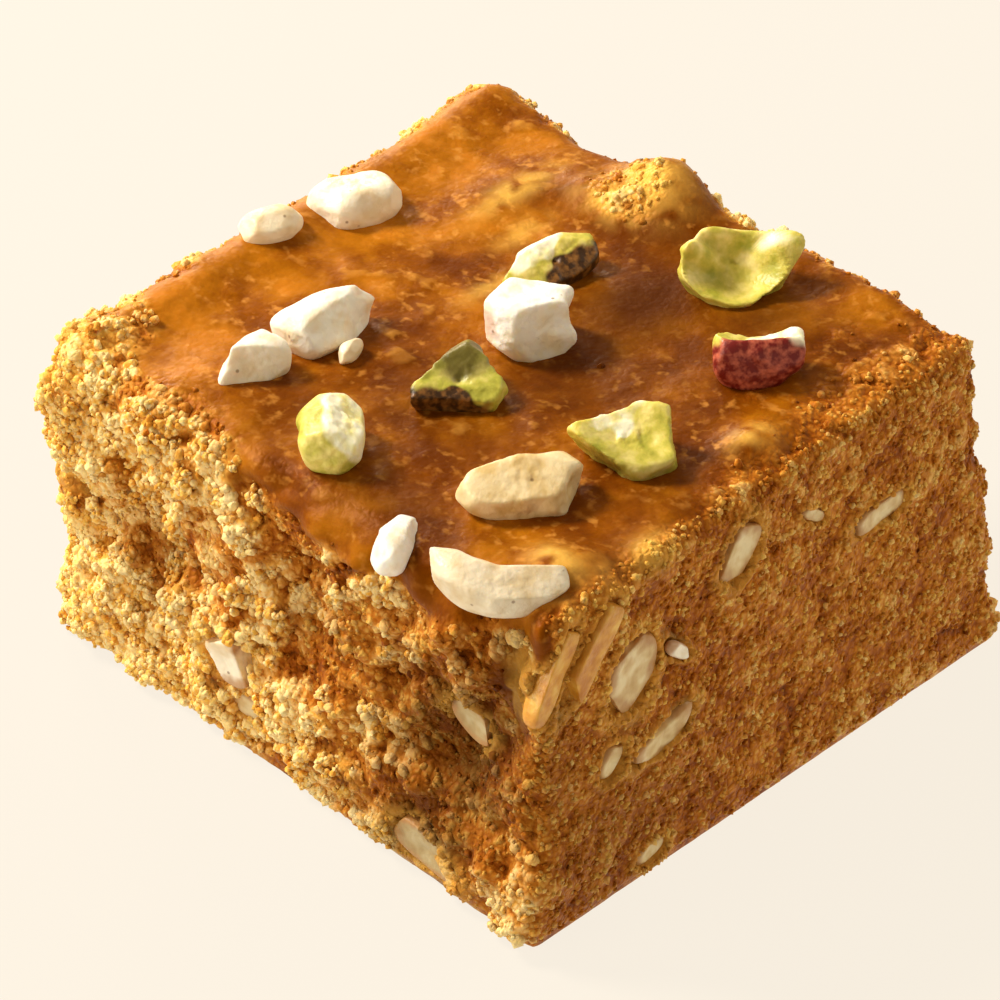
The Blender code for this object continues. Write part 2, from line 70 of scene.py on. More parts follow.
# The lumps and hollows of the large form: place, radii and rise.
SWELLINGS = {
    "crumb lump at the back": ((-3.6, 18.0, 23.6), (3.6, 2.7, 5.0), 3.0),
    "its left shoulder": ((-7.5, 15.2, 23.4), (2.6, 1.6, 4.0), 1.0),
    "its back shoulder": ((4.5, 20.6, 23.4), (4.0, 2.6, 3.0), 0.5),
    "left rim": ((-20.5, -2.0, 23.4), (3.4, 34.0, 4.0), 1.1),
    "left rim, near stretch": ((-20.3, -12.5, 23.4), (3.0, 7.5, 3.0), 0.6),
    "left corner": ((-19.8, -19.2, 23.6), (2.8, 2.8, 3.0), 0.8),
    "bulge below the left corner": ((-20.0, -20.4, 17.0), (2.6, 3.0, 3.0), 0.7),
    "back corner": ((-22.0, 20.5, 23.4), (4.5, 4.5, 4.0), 0.7),
    "back rim, right stretch": ((13.0, 20.2, 23.4), (6.5, 2.8, 3.0), 1.1),
    "back rim, left stretch": ((-12.0, 18.6, 23.4), (2.6, 2.6, 3.0), 0.5),
    "raised streak": ((-12.0, 12.5, 23.4), (2.4, 4.6, 4.0), 0.6),
    "near corner mound": ((17.2, -15.6, 23.4), (2.2, 1.7, 3.0), 0.7),
    "right rim shard": ((20.3, -10.4, 23.2), (1.5, 2.0, 2.0), 0.9),
    "right rim grain": ((17.6, 1.5, 23.4), (1.4, 1.9, 3.0), 0.6),
    "front left bulge": ((-19.6, -20.6, 20.0), (2.4, 3.0, 2.0), 0.9),
    "front hollow": ((14.0, -20.4, 10.0), (4.2, 4.0, 4.6), -1.9),
    "front hollow, upper end": ((17.6, -20.4, 16.2), (2.2, 3.0, 2.6), -1.1),
    "front dent": ((2.0, -20.6, 15.0), (3.4, 3.0, 2.6), -0.9),
    "front left dent": ((-13.0, -20.6, 12.0), (3.0, 3.0, 3.6), -0.8),
    "front foot bulge": ((-8.0, -20.6, 4.5), (4.0, 3.0, 2.6), 0.7),
    "near corner foot": ((21.3, -20.0, 5.0), (3.0, 3.0, 4.0), 0.5),
    "back dent": ((-12.5, 21.0, 22.0), (2.2, 3.0, 2.4), -0.9),
    "sag of the pressed top": ((0.0, 0.0, 23.4), (15.0, 15.0, 3.0), -0.35),
}

# The large relief of each face, by its outward direction: the height of its crags, and of its low waves.
CRAG_SIZE = 4.4
WAVE_SIZE = 9.0
FACE_RELIEF = {
    (0, -1, 0): (1.60, 0.50),
    (0, 1, 0): (1.00, 0.45),
    (-1, 0, 0): (0.85, 0.40),
    (1, 0, 0): (0.22, 0.30),
    (0, 0, 1): (0.10, 0.42),
}

# Each light's way from the square, its distance and size in millimetres, its power in watts and its colour:
# a key from the left and a little behind, a low rim light from behind, a low fill on the front face, a
# faint one on the right face, and one from the right and a little behind.
LIGHTS = {
    "key": ((-0.68, -0.24, 0.69), 400, 100, 2.3, "#fff6e8"),
    "rim": ((-0.86, 0.45, 0.30), 350, 120, 0.6, "#ffeed0"),
    "fill": ((-0.30, -0.92, 0.30), 400, 200, 0.70, "#fff2dc"),
    "side": ((0.90, -0.30, 0.42), 400, 260, 0.06, "#fff0d4"),
    "back": ((0.42, 0.74, 0.52), 400, 200, 0.42, "#fff2dc"),
}
ROOM_COLOUR, ROOM_STRENGTH = "#fff0d8", 0.28
FLOOR_REACH, FLOOR_DROP = 3.0, 0.00005  # in metres

# The camera: degrees round the square and above it, its distance from what it aims at, how far right of and
# above the square's middle that lies in the picture, and its lens.
AZIMUTH, ELEVATION = 43, 37
CAMERA_DISTANCE = 256.3
AIM_RIGHT, AIM_UP = -1.12, -0.70
LENS, SENSOR = 144, 36

# The square's own mesh: how many cells run along X, Y and Z.
BLOCK_CELLS = (168, 168, 94)

# The crumb of each face: how far its clumps, crumbs and grains stand out, how dry and golden it is, and how
# much its tone varies with its relief, as painted shade that darkens its crevices.
CRUMB_RELIEF = {
    (0, -1, 0): (0.60, 0.60, 0.30, 0.36, 1.15),
    (0, 1, 0): (0.50, 0.50, 0.28, -0.08, 0.50),
    (-1, 0, 0): (0.50, 0.50, 0.28, 0.04, 0.45),
    (1, 0, 0): (0.14, 0.22, 0.13, -0.26, 0.72),
    (0, 0, 1): (0.35, 0.45, 0.26, 0.30, 0.8),
}
CLUMP_SIZE = 3.1
CRUMB_SIZE = 1.45
GRAIN_SIZE = 0.70

# Where the pressed skin is broken and bare crumb shows on the top: place, radii and how bare.
BARE_SPOTS = {
    "crumb lump at the back": ((-5.4, 16.2, 25.0), (3.0, 2.4, 5.0), 1.25),
    "back rim": ((0.0, 22.8, 23.4), (30.0, 1.4, 5.0), 0.9),
    "left corner": ((-21.5, -19.6, 23.4), (6.4, 5.4, 4.0), 1.25),
    "left rim": ((-23.4, 0.0, 23.4), (1.6, 30.0, 5.0), 1.0),
    "front rim, left stretch": ((-12.0, -21.2, 23.4), (9.5, 3.3, 4.0), 1.15),
    "right rim, back stretch": ((21.5, 12.0, 23.4), (7.0, 12.0, 4.0), 0.85),
    "right rim, middle": ((21.0, -1.0, 23.4), (3.0, 5.0, 4.0), 0.85),
    "right rim, near stretch": ((20.8, -12.0, 23.4), (1.4, 7.0, 4.0), 0.8),
}

# Paler places on the square: butterier crumb, and at the left corner, the left rim and the left foot a
# painted glow where the key light falls and shines through the edge. Place, radii and how pale.
BUTTERY_AND_GLOWING_SPOTS = {
    "crumb lump at the back": ((-4.5, 17.0, 25.6), (3.2, 2.4, 2.2), 0.85),
    "its near side": ((-5.6, 14.6, 23.6), (2.6, 1.0, 1.6), 0.7),
    "raised streak": ((-11.4, 12.0, 24.0), (1.0, 3.6, 2.0), 0.75),
    "second streak": ((-8.2, 9.2, 24.0), (0.8, 2.2, 2.0), 0.6),
    "streak behind the middle": ((-5.6, 3.6, 23.6), (0.7, 2.6, 1.6), 0.5),
    "right rim shard": ((20.5, -10.4, 23.6), (1.2, 1.8, 1.4), 0.8),
    "right rim grain": ((17.6, 1.5, 24.0), (0.9, 1.4, 1.5), 0.8),
    "near corner mound": ((17.4, -15.4, 24.0), (1.8, 1.2, 1.6), 0.8),
    # The next three are painted glow of the key light on the square's left edge.
    "left corner": ((-21.5, -20.5, 21.5), (4.0, 4.2, 5.0), 0.7),
    "left rim": ((-23.2, -3.0, 23.6), (1.7, 22.0, 2.4), 0.7),
    "left foot": ((-21.5, -21.5, 9.0), (4.2, 3.0, 8.0), 0.55),
    "foot of the front": ((-6.0, -21.5, 3.2), (9.0, 3.0, 1.6), 0.4),
}

# The hollow by the near corner that ghee has soaked: place and radii.
WET_HOLLOW = ((18.4, -20.4, 17.5), (2.2, 3.0, 4.6))

# Darker places: painted shade in the front face's hollows and dents and towards the near corner, and darker
# patches on the top round the nuts. Place, radii and how dark.
MOIST_AND_SHADED_SPOTS = {
    "front hollow": ((14.5, -20.4, 11.0), (6.0, 4.0, 7.0), 1.2),
    "front hollow, upper end": ((18.0, -20.4, 17.0), (2.6, 3.0, 4.4), 1.1),
    "front foot by the near corner": ((12.5, -20.4, 4.0), (6.0, 3.0, 5.0), 1.1),
    "front middle": ((3.0, -20.4, 14.5), (5.0, 3.0, 4.5), 0.5),
    "front left dent": ((-12.0, -20.4, 11.0), (3.4, 3.0, 4.0), 0.5),
    "near corner foot": ((21.3, -15.0, 5.0), (3.0, 7.0, 6.0), 0.4),
    "behind the middle nut": ((2.8, 8.6, 23.4), (5.5, 7.0, 4.0), 1.15),
    "right of the middle nut": ((5.0, 1.0, 23.4), (6.0, 7.0, 4.0), 0.8),
    "behind the red pistachio": ((9.5, 12.0, 23.4), (4.5, 4.5, 4.0), 0.9),
    "before the middle nut": ((2.0, -8.0, 23.4), (8.0, 5.5, 4.0), 0.6),
    "front middle of the top": ((5.8, -17.6, 23.4), (6.0, 3.4, 4.0), 0.75),
    "front left of the top": ((-3.0, -15.0, 23.4), (5.0, 6.0, 4.0), 0.45),
    "beside the spout": ((16.5, -6.0, 23.4), (2.5, 3.0, 4.0), 0.5),
}


def lattice_random(cells, seed):
    """A repeatable number from 0 to 1 for each whole-number cell, by mixing the bits of its three
    numbers."""
    x, y, z = (cells[..., axis].astype(np.uint32) for axis in range(3))
    mixed = x * np.uint32(73856093) ^ y * np.uint32(19349663) ^ z * np.uint32(83492791)
    mixed = mixed + np.uint32(seed * 1013904223 % 2**32)
    mixed = (mixed ^ (mixed >> np.uint32(15))) * np.uint32(2246822519)
    mixed = (mixed ^ (mixed >> np.uint32(13))) * np.uint32(3266489917)
    return (mixed ^ (mixed >> np.uint32(16))) / 2.0**32


def smooth_noise(points, size, seed):
    """Gradient noise from about -1 to 1: in each cell of the given size, the slopes of the eight corners
    are blended with a smooth fade."""
    scaled = points / size
    cell = np.floor(scaled).astype(np.int64)
    inside = scaled - cell
    fade = inside**3 * (inside * (inside * 6 - 15) + 10)
    total = np.zeros(len(points))
    for corner in itertools.product((0, 1), repeat=3):
        corner = np.array(corner)
        slopes = [lattice_random(cell + corner, seed + axis) * 2 - 1 for axis in range(3)]
        weight = np.prod(np.where(corner == 1, fade, 1 - fade), axis=1)
        total += weight * np.sum(np.stack(slopes, axis=1) * (inside - corner), axis=1)
    return total * 1.7


def packed_lumps(points, size, seed):
    """Rounded lumps packed side by side: one less the squared distance to the nearest of the crowns strewn
    one to a cell, so 1 at a crown and 0 in the crevices."""
    scaled = points / size
    cell = np.floor(scaled).astype(np.int64)
    nearest = np.full(len(points), np.inf)
    for step in itertools.product((-1, 0, 1), repeat=3):
        neighbour = cell + np.array(step)
        crown = neighbour + np.stack([lattice_random(neighbour, seed + axis) for axis in range(3)], axis=1)
        nearest = np.minimum(nearest, np.sum((scaled - crown) ** 2, axis=1))
    return np.clip(1 - nearest / 0.8, 0, 1)


def smooth_step(low, high, value):
    """0 below low, 1 above high, and an S-shaped rise between them."""
    share = np.clip((value - low) / (high - low), 0, 1)
    return share * share * (3 - 2 * share)


def square_surface(cube):
    """Points and outward directions of the square's large form, from points on a cube of half side 1.

    The cube is stretched to the square's size, its edges are rounded, each corner carries its shift to the
    points near it, and the large relief is added along the outward direction. The base stays flat.
    """
    half = np.array([SIDE, SIDE, HEIGHT]) / 2
    height_share = smooth_step(-1, 1, cube[:, 2:3])
    rounding = BASE_ROUNDING + (TOP_ROUNDING - BASE_ROUNDING) * height_share
    rounding = rounding - (TOP_ROUNDING - CUT_ROUNDING) * smooth_step(0.9, 1.0, cube[:, :1]) * height_share
    core = np.clip(cube * half, rounding - half, half - rounding)
    outward = cube * half - core
    outward /= np.linalg.norm(outward, axis=1, keepdims=True)
    points = core + rounding * outward
    share = points / half
    shift = np.zeros((len(points), 2))
    for corner, moved in CORNER_SHIFT.items():
        weight = np.prod((1 + share * np.array(corner)) / 2, axis=1)
        shift += weight[:, None] * np.array(moved)
    points[:, :2] += shift
    points[:, 2] += HEIGHT / 2
    points += outward * large_relief(points, outward)[:, None]
    points[:, 2] = np.maximum(points[:, 2], 0)
    points[cube[:, 2] <= -1, 2] = 0
    return points, outward


def by_face(outward, table, column):
    """A value given for each face, blended by the square of how squarely the surface faces that way."""
    return sum(np.clip(outward @ np.array(face), 0, 1) ** 2 * row[column] for face, row in table.items())


def large_relief(points, outward):
    """How far the large form stands out: crags and waves by face, then each named lump or hollow as a
    bell."""
    crags = packed_lumps(points, CRAG_SIZE, 11) - 0.55 + 0.5 * smooth_noise(points, CRAG_SIZE * 0.6, 5)
    waves = smooth_noise(points, WAVE_SIZE, 23)
    height = by_face(outward, FACE_RELIEF, 0) * crags + by_face(outward, FACE_RELIEF, 1) * waves
    for place, radii, rise in SWELLINGS.values():
        height += rise * bell(points, place, radii)
    return height * smooth_step(0.0, 1.5, points[:, 2])


def bell(points, place, radii):
    """1 at the place, falling off as a Gaussian bell with its own radius along each axis."""
    return np.exp(-np.sum(((points - np.array(place)) / np.array(radii)) ** 2, axis=1))


# Each face of the square: the cube coordinate that it holds, at which end, and the two others.
FACES = {"top": (2, 1, (0, 1)), "right": (0, 1, (1, 2)), "front": (1, -1, (0, 2))}


def point_on_square(face, across, up):
    """The surface point of a face that has the two other coordinates asked for, closed in on by steps."""
    held, end, sought = FACES[face]
    half = np.array([SIDE, SIDE, HEIGHT]) / 2
    target = np.array([across, up], float)
    cube = np.zeros((1, 3))
    cube[0, held] = end
    for _ in range(12):
        missed = target - square_surface(cube)[0][0, list(sought)]
        for axis, miss in zip(sought, missed):
            cube[0, axis] = np.clip(cube[0, axis] + 0.8 * miss / half[axis], -1, 1)
    return square_surface(cube)[0][0]


@dataclass
class Nut:
    """A broken nut: a rounded body, flat breaks across it, and how it lies on or in the square."""

    kind: str
    face: str
    place: tuple
    rise: float
    half: tuple
    turn: float
    lean: tuple = (0.0, 0.0)
    breaks: list = field(default_factory=list)
    swells: list = field(default_factory=list)
    squareness: float = 2.3
    bend: float = 0.0
    hollow: float = 0.0


# Kind, face, place, rise, half and turn come first. Place is (x, y) on the top, (y, z) on the right and (x,
# z) on the front, and rise is from the surface there to the nut's middle. Half is half its length, width
# and height, turn is in degrees about the face's outward axis, and lean is (nose up, rolled). Each break is
# a direction from the nut's middle, and how far off the nut ends there. Each swell is a direction, its
# spread in degrees, and how far the surface rises there, or sinks where that is below zero.
NUTS = {
    "cashew_wedge": Nut("cashew", "top", (-9.1, -7.9), 1.0, (4.1, 2.1, 1.7), 82, lean=(5, -8),
        breaks=[((-1, 0.1, 0.12), 2.9), ((0.52, -0.85, 0.2), 1.6), ((0.5, 0.85, 0.25), 1.75), ((0, -0.9,
        0.42), 1.6)], swells=[((1, -0.05, 0.15), 16, 1.2), ((-0.85, 0.5, 0.3), 18, 0.35), ((-0.9, -0.4,
        0.3), 18, -0.35)]),
    "cashew_tooth": Nut("cashew", "top", (-9.5, -13.6), 0.85, (3.4, 1.75, 1.5), 80, lean=(-4, -6),
        breaks=[((1, 0.05, 0.05), 1.8), ((-0.45, 0.88, 0.25), 1.05), ((-0.45, -0.88, 0.2), 1.1)],
        swells=[((-1, 0, -0.1), 20, 0.7), ((0.8, 0.6, 0.3), 18, 0.3)]),
    "cashew_chip": Nut("cashew", "top", (-6.3, -8.5), 0.45, (1.1, 0.6, 0.65), 100, lean=(10, 0),
        breaks=[((0.6, 0.7, 0.2), 0.6), ((-0.7, 0.5, 0.5), 0.75)]),
    "pistachio_slab": Nut("pistachio", "top", (0.0, -16.3), 1.25, (2.85, 1.9, 1.95), 133, breaks=[((0,
        -0.5, 0.87), 1.5), ((1, 0.1, 0.1), 2.5), ((-1, 0, 0.1), 2.6)], swells=[((0.2, 0.9, 0.3), 20, 0.3),
        ((-0.6, 0.75, 0.2), 16, 0.3), ((0.75, 0.5, 0.4), 14, -0.3)], squareness=3.0),
    "pistachio_wedge": Nut("pistachio", "top", (1.3, -6.8), 0.9, (3.9, 2.6, 1.8), 66, lean=(8, 6),
        breaks=[((0, -0.35, 0.93), 0.95), ((-0.55, 0.83, 0), 1.5), ((-0.45, -0.89, 0), 1.6), ((1, 0, 0.1),
        2.4)], swells=[((-1, 0.05, 0.25), 15, 0.9), ((0.5, 0.8, 0.3), 24, 0.5), ((0.8, -0.55, 0), 18, 0.4),
        ((0.1, -0.3, 0.95), 26, -0.35)]),
    "cashew_cube": Nut("cashew", "top", (0.4, 0.55), 1.65, (3.1, 2.5, 2.3), 43, lean=(0, 4),
        breaks=[((1, 0.1, 0.1), 2.6), ((-0.75, -0.6, 0.25), 2.45), ((0.35, -0.9, 0.2), 1.7), ((0, 0.15, 1),
        2.05), ((-0.7, 0.6, 0.3), 2.65), ((0.7, 0.55, 0.5), 2.65)], swells=[((0.8, 0.45, 0.45), 14, 0.8),
        ((0.85, -0.4, -0.1), 15, 0.4), ((1, 0.05, 0.2), 14, -0.35), ((-0.4, 0.6, 0.7), 14, 0.35), ((-0.55,
        -0.1, 0.85), 16, -0.25)], squareness=2.8),
    "pistachio_sliver": Nut("pistachio", "top", (-3.6, 6.9), 0.85, (3.7, 1.75, 1.5), 74, lean=(6, 14),
        breaks=[((0, -0.3, 0.95), 0.9), ((1, 0, 0.3), 3.1), ((-0.7, 0.7, 0), 2.2)], swells=[((-1, -0.1,
        0.1), 20, 0.6), ((0.85, 0.2, 0.6), 20, 0.6), ((0.15, -0.3, 0.95), 18, -0.4)]),
    "pistachio_cup": Nut("pistachio", "top", (6.2, 13.4), 1.35, (3.7, 2.8, 2.7), 40, lean=(-3, 42),
        breaks=[((0, 0.12, 1), 0.85), ((-0.86, 0.5, 0.1), 3.0), ((0.8, -0.55, 0), 2.9)], swells=[((-0.92,
        0.32, 0.45), 14, 1.9), ((0.9, 0.5, 0.25), 16, 1.4), ((-0.85, -0.6, 0), 26, -0.5), ((0.75, -0.75, 0),
        26, -0.5), ((0.1, 0.9, 0.4), 22, -0.55)], hollow=1.5),
    "pistachio_red": Nut("pistachio", "top", (13.5, 7.4), 1.35, (3.0, 1.9, 2.4), 49, lean=(4, -16),
        breaks=[((0.1, 0.2, 1), 1.4), ((0, 1, 0.1), 1.3), ((1, 0.1, 0), 2.5)], swells=[((0.85, 0.2, 0.6),
        18, 0.75), ((-0.85, 0.1, 0.55), 18, 0.35), ((0.85, -0.3, -0.6), 26, -0.6), ((-0.1, -0.9, 0.3), 16,
        0.25)], squareness=2.4, bend=-0.8, hollow=0.8),
    "pistachio_spout": Nut("pistachio", "top", (13.3, -4.8), 1.25, (3.5, 2.6, 2.4), 40, lean=(-4, 24),
        breaks=[((0.05, 0.05, 1), 1.05), ((-0.6, -0.8, -0.15), 1.85), ((-0.5, 0.85, 0), 1.85), ((1, 0.2,
        0.2), 2.7)], swells=[((-1, 0, 0.2), 16, 0.4), ((0.6, 0.75, 0.2), 18, 0.4), ((0.1, -0.9, -0.3), 16,
        0.5), ((0.75, -0.55, 0), 14, -0.3)], squareness=2.4, hollow=0.55),
    "cashew_boat": Nut("cashew", "top", (11.4, -12.1), 1.15, (3.75, 2.05, 1.75), 47, lean=(0, 14),
        breaks=[((0, -0.25, 0.97), 1.3), ((-0.85, 0.5, 0.1), 3.0), ((0.9, -0.42, 0.1), 2.9), ((0.1, -0.95,
        0.1), 1.75), ((-0.3, 0.9, 0.35), 1.8)], swells=[((0.9, 0.45, 0.2), 14, 0.8), ((0.4, 0.85, 0.35), 16,
        -0.45), ((1, -0.05, 0.1), 13, -0.35), ((0.75, -0.65, 0), 13, 0.5), ((-1, -0.15, 0), 18, 0.25)],
        squareness=2.9),
    "cashew_nib": Nut("cashew", "top", (8.5, -21.4), 0.15, (2.9, 1.2, 1.4), 118, lean=(-14, 8),
        breaks=[((1, 0.3, 0.1), 2.3), ((0.1, -0.8, 0.6), 1.2), ((-1, 0.4, 0), 2.5)], swells=[((0.75, -0.6,
        0.3), 18, 0.55), ((-0.5, 0.8, 0), 22, -0.25), ((0.6, 0.75, 0.2), 16, 0.25)], squareness=2.6),
    "cashew_hook": Nut("cashew", "top", (16.0, -19.1), 0.7, (4.4, 1.45, 1.5), 36, lean=(-5, 10),
        breaks=[((1, 0, 0), 4.2), ((-0.9, -0.4, 0), 3.7), ((0.12, -0.2, 0.97), 1.15)], swells=[((0.1, 0.9,
        0.4), 26, -0.4), ((-0.92, 0.35, 0.25), 14, 0.6), ((-0.72, 0.62, 0.3), 10, -0.45), ((0.95, -0.1, 0),
        20, 0.35), ((0.1, -0.9, 0.1), 22, 0.3)], squareness=2.6, bend=1.5),
    "cashew_disc": Nut("cashew", "top", (-17.9, 3.6), 0.1, (3.15, 2.5, 1.8), 70, lean=(0, -6),
        breaks=[((-0.9, -0.4, 0.1), 2.7), ((0, 0.1, 1), 1.4)], swells=[((0.8, -0.5, 0.2), 20, 0.4), ((-0.3,
        0.9, 0.3), 20, 0.3), ((0.1, -0.9, 0.3), 18, -0.3)]),
    "cashew_pebble": Nut("cashew", "top", (-19.2, -2.7), 0.1, (2.2, 1.5, 1.3), 74, lean=(0, -10),
        breaks=[((0.8, 0.5, 0.3), 1.8)]),
    "right_shard": Nut("inlay", "right", (-3.2, 19.5), -0.5, (2.35, 1.55, 1.2), 48, breaks=[((0, 0, 1),
        0.75), ((1, 0.35, 0), 1.9), ((-0.8, -0.6, 0), 1.8), ((-0.2, 1, 0), 1.2)], squareness=2.8),
    "right_rod": Nut("inlay", "right", (10.0, 15.4), -0.5, (2.7, 0.95, 1.1), 4, breaks=[((0, 0, 1),
        0.75), ((1, 0, 0), 2.3), ((-1, 0, 0), 2.4)], squareness=3.0),
    "right_fleck": Nut("inlay", "right", (3.8, 18.4), -0.3, (1.5, 0.6, 0.7), -35, breaks=[((0, 0, 1),
        0.5)]),
    "right_chunk": Nut("inlay", "right", (-12.9, 15.9), -0.55, (2.9, 2.3, 1.5), 74, breaks=[((0, 0, 1),
        0.95), ((0.8, 0.6, 0), 2.2), ((-0.7, 0.7, 0), 2.1), ((-0.6, -0.8, 0), 1.9)], squareness=2.6),
    "right_flake": Nut("cashew", "right", (-9.0, 15.6), 0.0, (1.5, 0.65, 0.6), -42, breaks=[((0, 0, 1),
        0.45), ((0.7, 0.7, 0), 0.75)]),
    "right_crescent": Nut("inlay", "right", (-10.6, 10.2), -0.5, (3.2, 1.05, 1.1), 12, breaks=[((0, 0,
        1), 0.75), ((-1, 0.2, 0), 2.6)], bend=0.7),
    "right_heel": Nut("inlay", "right", (-14.9, 10.7), -0.5, (1.5, 1.0, 0.9), 50, breaks=[((0, 0, 1),
        0.7), ((1, 0.3, 0), 1.1)]),
    "right_foot": Nut("inlay", "right", (-11.6, 1.7), -0.5, (1.6, 0.85, 0.9), 10, breaks=[((0, 0, 1),
        0.7)]),
    "corner_splinter": Nut("candied", "right", (-16.5, 19.4), -0.1, (4.1, 1.05, 1.1), 52, breaks=[((0,
        0, 1), 0.65), ((1, 0, 0), 3.5), ((-0.8, 0.6, 0), 1.9)], squareness=3.0),
    "corner_sliver": Nut("candied", "right", (-19.2, 19.4), -0.2, (3.6, 0.85, 1.0), 60, breaks=[((0, 0,
        1), 0.6), ((1, 0, 0), 3.0)], squareness=3.0),
    "front_wedge": Nut("cashew", "front", (-5.0, 7.6), -0.1, (2.4, 2.1, 1.2), -28, breaks=[((0.2, 0, 1),
        0.7), ((-0.6, -0.8, 0), 1.2), ((0.75, 0.65, 0), 1.2), ((-0.8, 0.6, 0), 1.5)]),
    "front_pebble": Nut("inlay", "front", (-3.8, 3.7), -0.3, (2.1, 1.1, 1.0), 12, breaks=[((0, 0, 1),
        0.7)]),
    "front_chip": Nut("inlay", "front", (14.5, 12.7), -0.1, (2.0, 1.3, 1.0), -30, breaks=[((0, 0, 1),
        0.7), ((0.8, 0.6, 0), 1.3)]),
    "front_plate": Nut("inlay", "front", (12.2, 2.2), -0.2, (3.2, 1.5, 1.0), -12, breaks=[((0, 0, 1),
        0.7), ((-0.9, 0.3, 0), 2.6), ((0.7, 0.7, 0), 1.9)], squareness=2.8),
}

# What each nut shows: how warm its flesh is (else green or ivory), how red its skin is, and where its skin,
# its pale cut side and its shade lie. The shade is painted shade on the wedge's dented top and under the cup
# and the spout, and an even darker tone on the boat, the hook and three front inlays. Each of those is a way
# in the square's own axes, the least cosine to that way that it covers, where -2 is all of the nut, and how
# strong it is if that isn't 1.
NUT_LOOKS = {
    "cashew_wedge": {"warm": 0.15},
    "cashew_tooth": {"warm": 0.30},
    "cashew_chip": {"warm": 0.5},
    "cashew_cube": {"warm": 0.0, "skin": ((-0.8, -0.5, -0.1), 0.80)},
    "cashew_boat": {"warm": 0.95, "shade": ((0, 0, 1), -2.0, 0.06)},
    "cashew_nib": {"warm": 0.10},
    "cashew_hook": {"warm": 0.6, "skin": ((-0.3, 0.5, 0.5), 0.75), "shade": ((0, 0, 1), -2.0, 0.10)},
    "cashew_disc": {"warm": 0.45},
    "cashew_pebble": {"warm": 0.6},
    "pistachio_slab": {"warm": 0.60, "cream": ((0.60, 0.55, 0.58), 0.30)},
    "pistachio_wedge": {
        "warm": 0.15, "skin": ((0.3, -0.80, -0.52), 0.40), "shade": ((-0.3, 0.3, 0.9), 0.55, 0.85),
    },
    "pistachio_sliver": {
        "warm": 0.8, "cream": ((-0.6, -0.3, 0.7), 0.62), "skin": ((0.75, 0.1, -0.1), 0.42),
    },
    "pistachio_cup": {
        "warm": 0.95, "cream": ((0.35, 0.45, 0.82), 0.92), "shade": ((-0.2, -0.5, -0.8), 0.4, 0.15),
    },
    "pistachio_red": {
        "warm": 0.7, "cream": ((-0.1, 0.3, 0.9), 0.45), "skin": ((0.5, -0.7, -0.1), 0.14), "red": 1.0,
    },
    "pistachio_spout": {
        "warm": 0.75, "cream": ((-0.25, -0.1, 0.95), 0.80), "shade": ((0.3, -0.5, -0.8), 0.3, 0.3),
    },
    "front_plate": {"shade": ((0, -1, 0), -2.0, 0.45)},
    "front_chip": {"shade": ((0, -1, 0), -2.0, 0.35)},
    "front_pebble": {"shade": ((0, -1, 0), -2.0, 0.15)},
}

NUT_RINGS, NUT_SPOKES = 60, 112
EDGE_SHARPNESS = 34  # how tight the edges between a nut's breaks are
CHIPS = 14
CHIP_SHARPNESS = 48
LEAST_CHIP, LEAST_HOLLOW_CHIP, MOST_CHIP = 0.84, 0.93, 0.97  # share of the nut's reach where a chip lies
CUT_SHARPNESS = 14  # 1/mm: how tight the edge is round a nut's flat cut
CUT_STAND = 0.26  # mm that a cut nut stands above the side face before it is drawn in
DRAWN_IN = 0.18  # mm that the nuts in the side faces are drawn in, so that the crumb laps over them
NUT_DEPTH = 3.0  # mm past which a nut no longer has an outline
FAR = 9.0  # more than any outline or cosine that is asked for

# Cashew that has soaked up ghee is greyish amber and wet, and a splinter soaked with syrup is amber and
# glossy.
SOAKED_FLESH = ((0.35, "#cca86c"), (0.5, "#dcc086"), (0.66, "#ead6a4"))
CANDIED_FLESH = ((0.35, "#c47c18"), (0.5, "#dc9c30"), (0.66, "#ecbc54"))

# How rough each kind of nut breaks.
BREAK_ROUGHNESS = {"cashew": 0.55, "pistachio": 1.0, "inlay": 0.25, "candied": 0.3}

# The faces that crumb is strewn on, each by the cube coordinate that it holds and at which end. One that is
# named twice gets twice as much.
COARSE_FACES = ((1, -1), (1, -1), (0, -1), (1, 1), (2, 1))
FINE_FACES = ((0, 1), (0, 1), (2, 1))

# What is strewn on the crumb: how many, the seed, the faces, the least and the greatest size of a grain,
# and the chance that a place is kept, which is the power of a sum: which look, the least, the gain with it,
# and the power.
STREWN = {
    "golden_clods": (600, 5, COARSE_FACES, (0.30, 0.70), ("dry", 0.0, 1.0, 2)),
    "coarse_grains": (5200, 7, COARSE_FACES, (0.30, 1.0), ("dry", 0.25, 0.75, 1)),
    "crumb_specks": (6200, 11, COARSE_FACES, (0.18, 0.38), ("light", 0.4, 0.6, 1)),
    "fine_grains": (5600, 9, FINE_FACES, (0.25, 0.55), ("light", 0.3, 0.7, 1)),
}
GRAIN_RINGS, GRAIN_SPOKES = 4, 5
GRAIN_CLEARANCE = 0.02  # mm that the lowest grains keep above the floor


def unit(vector):
    vector = np.array(vector, float)
    return vector / np.linalg.norm(vector)


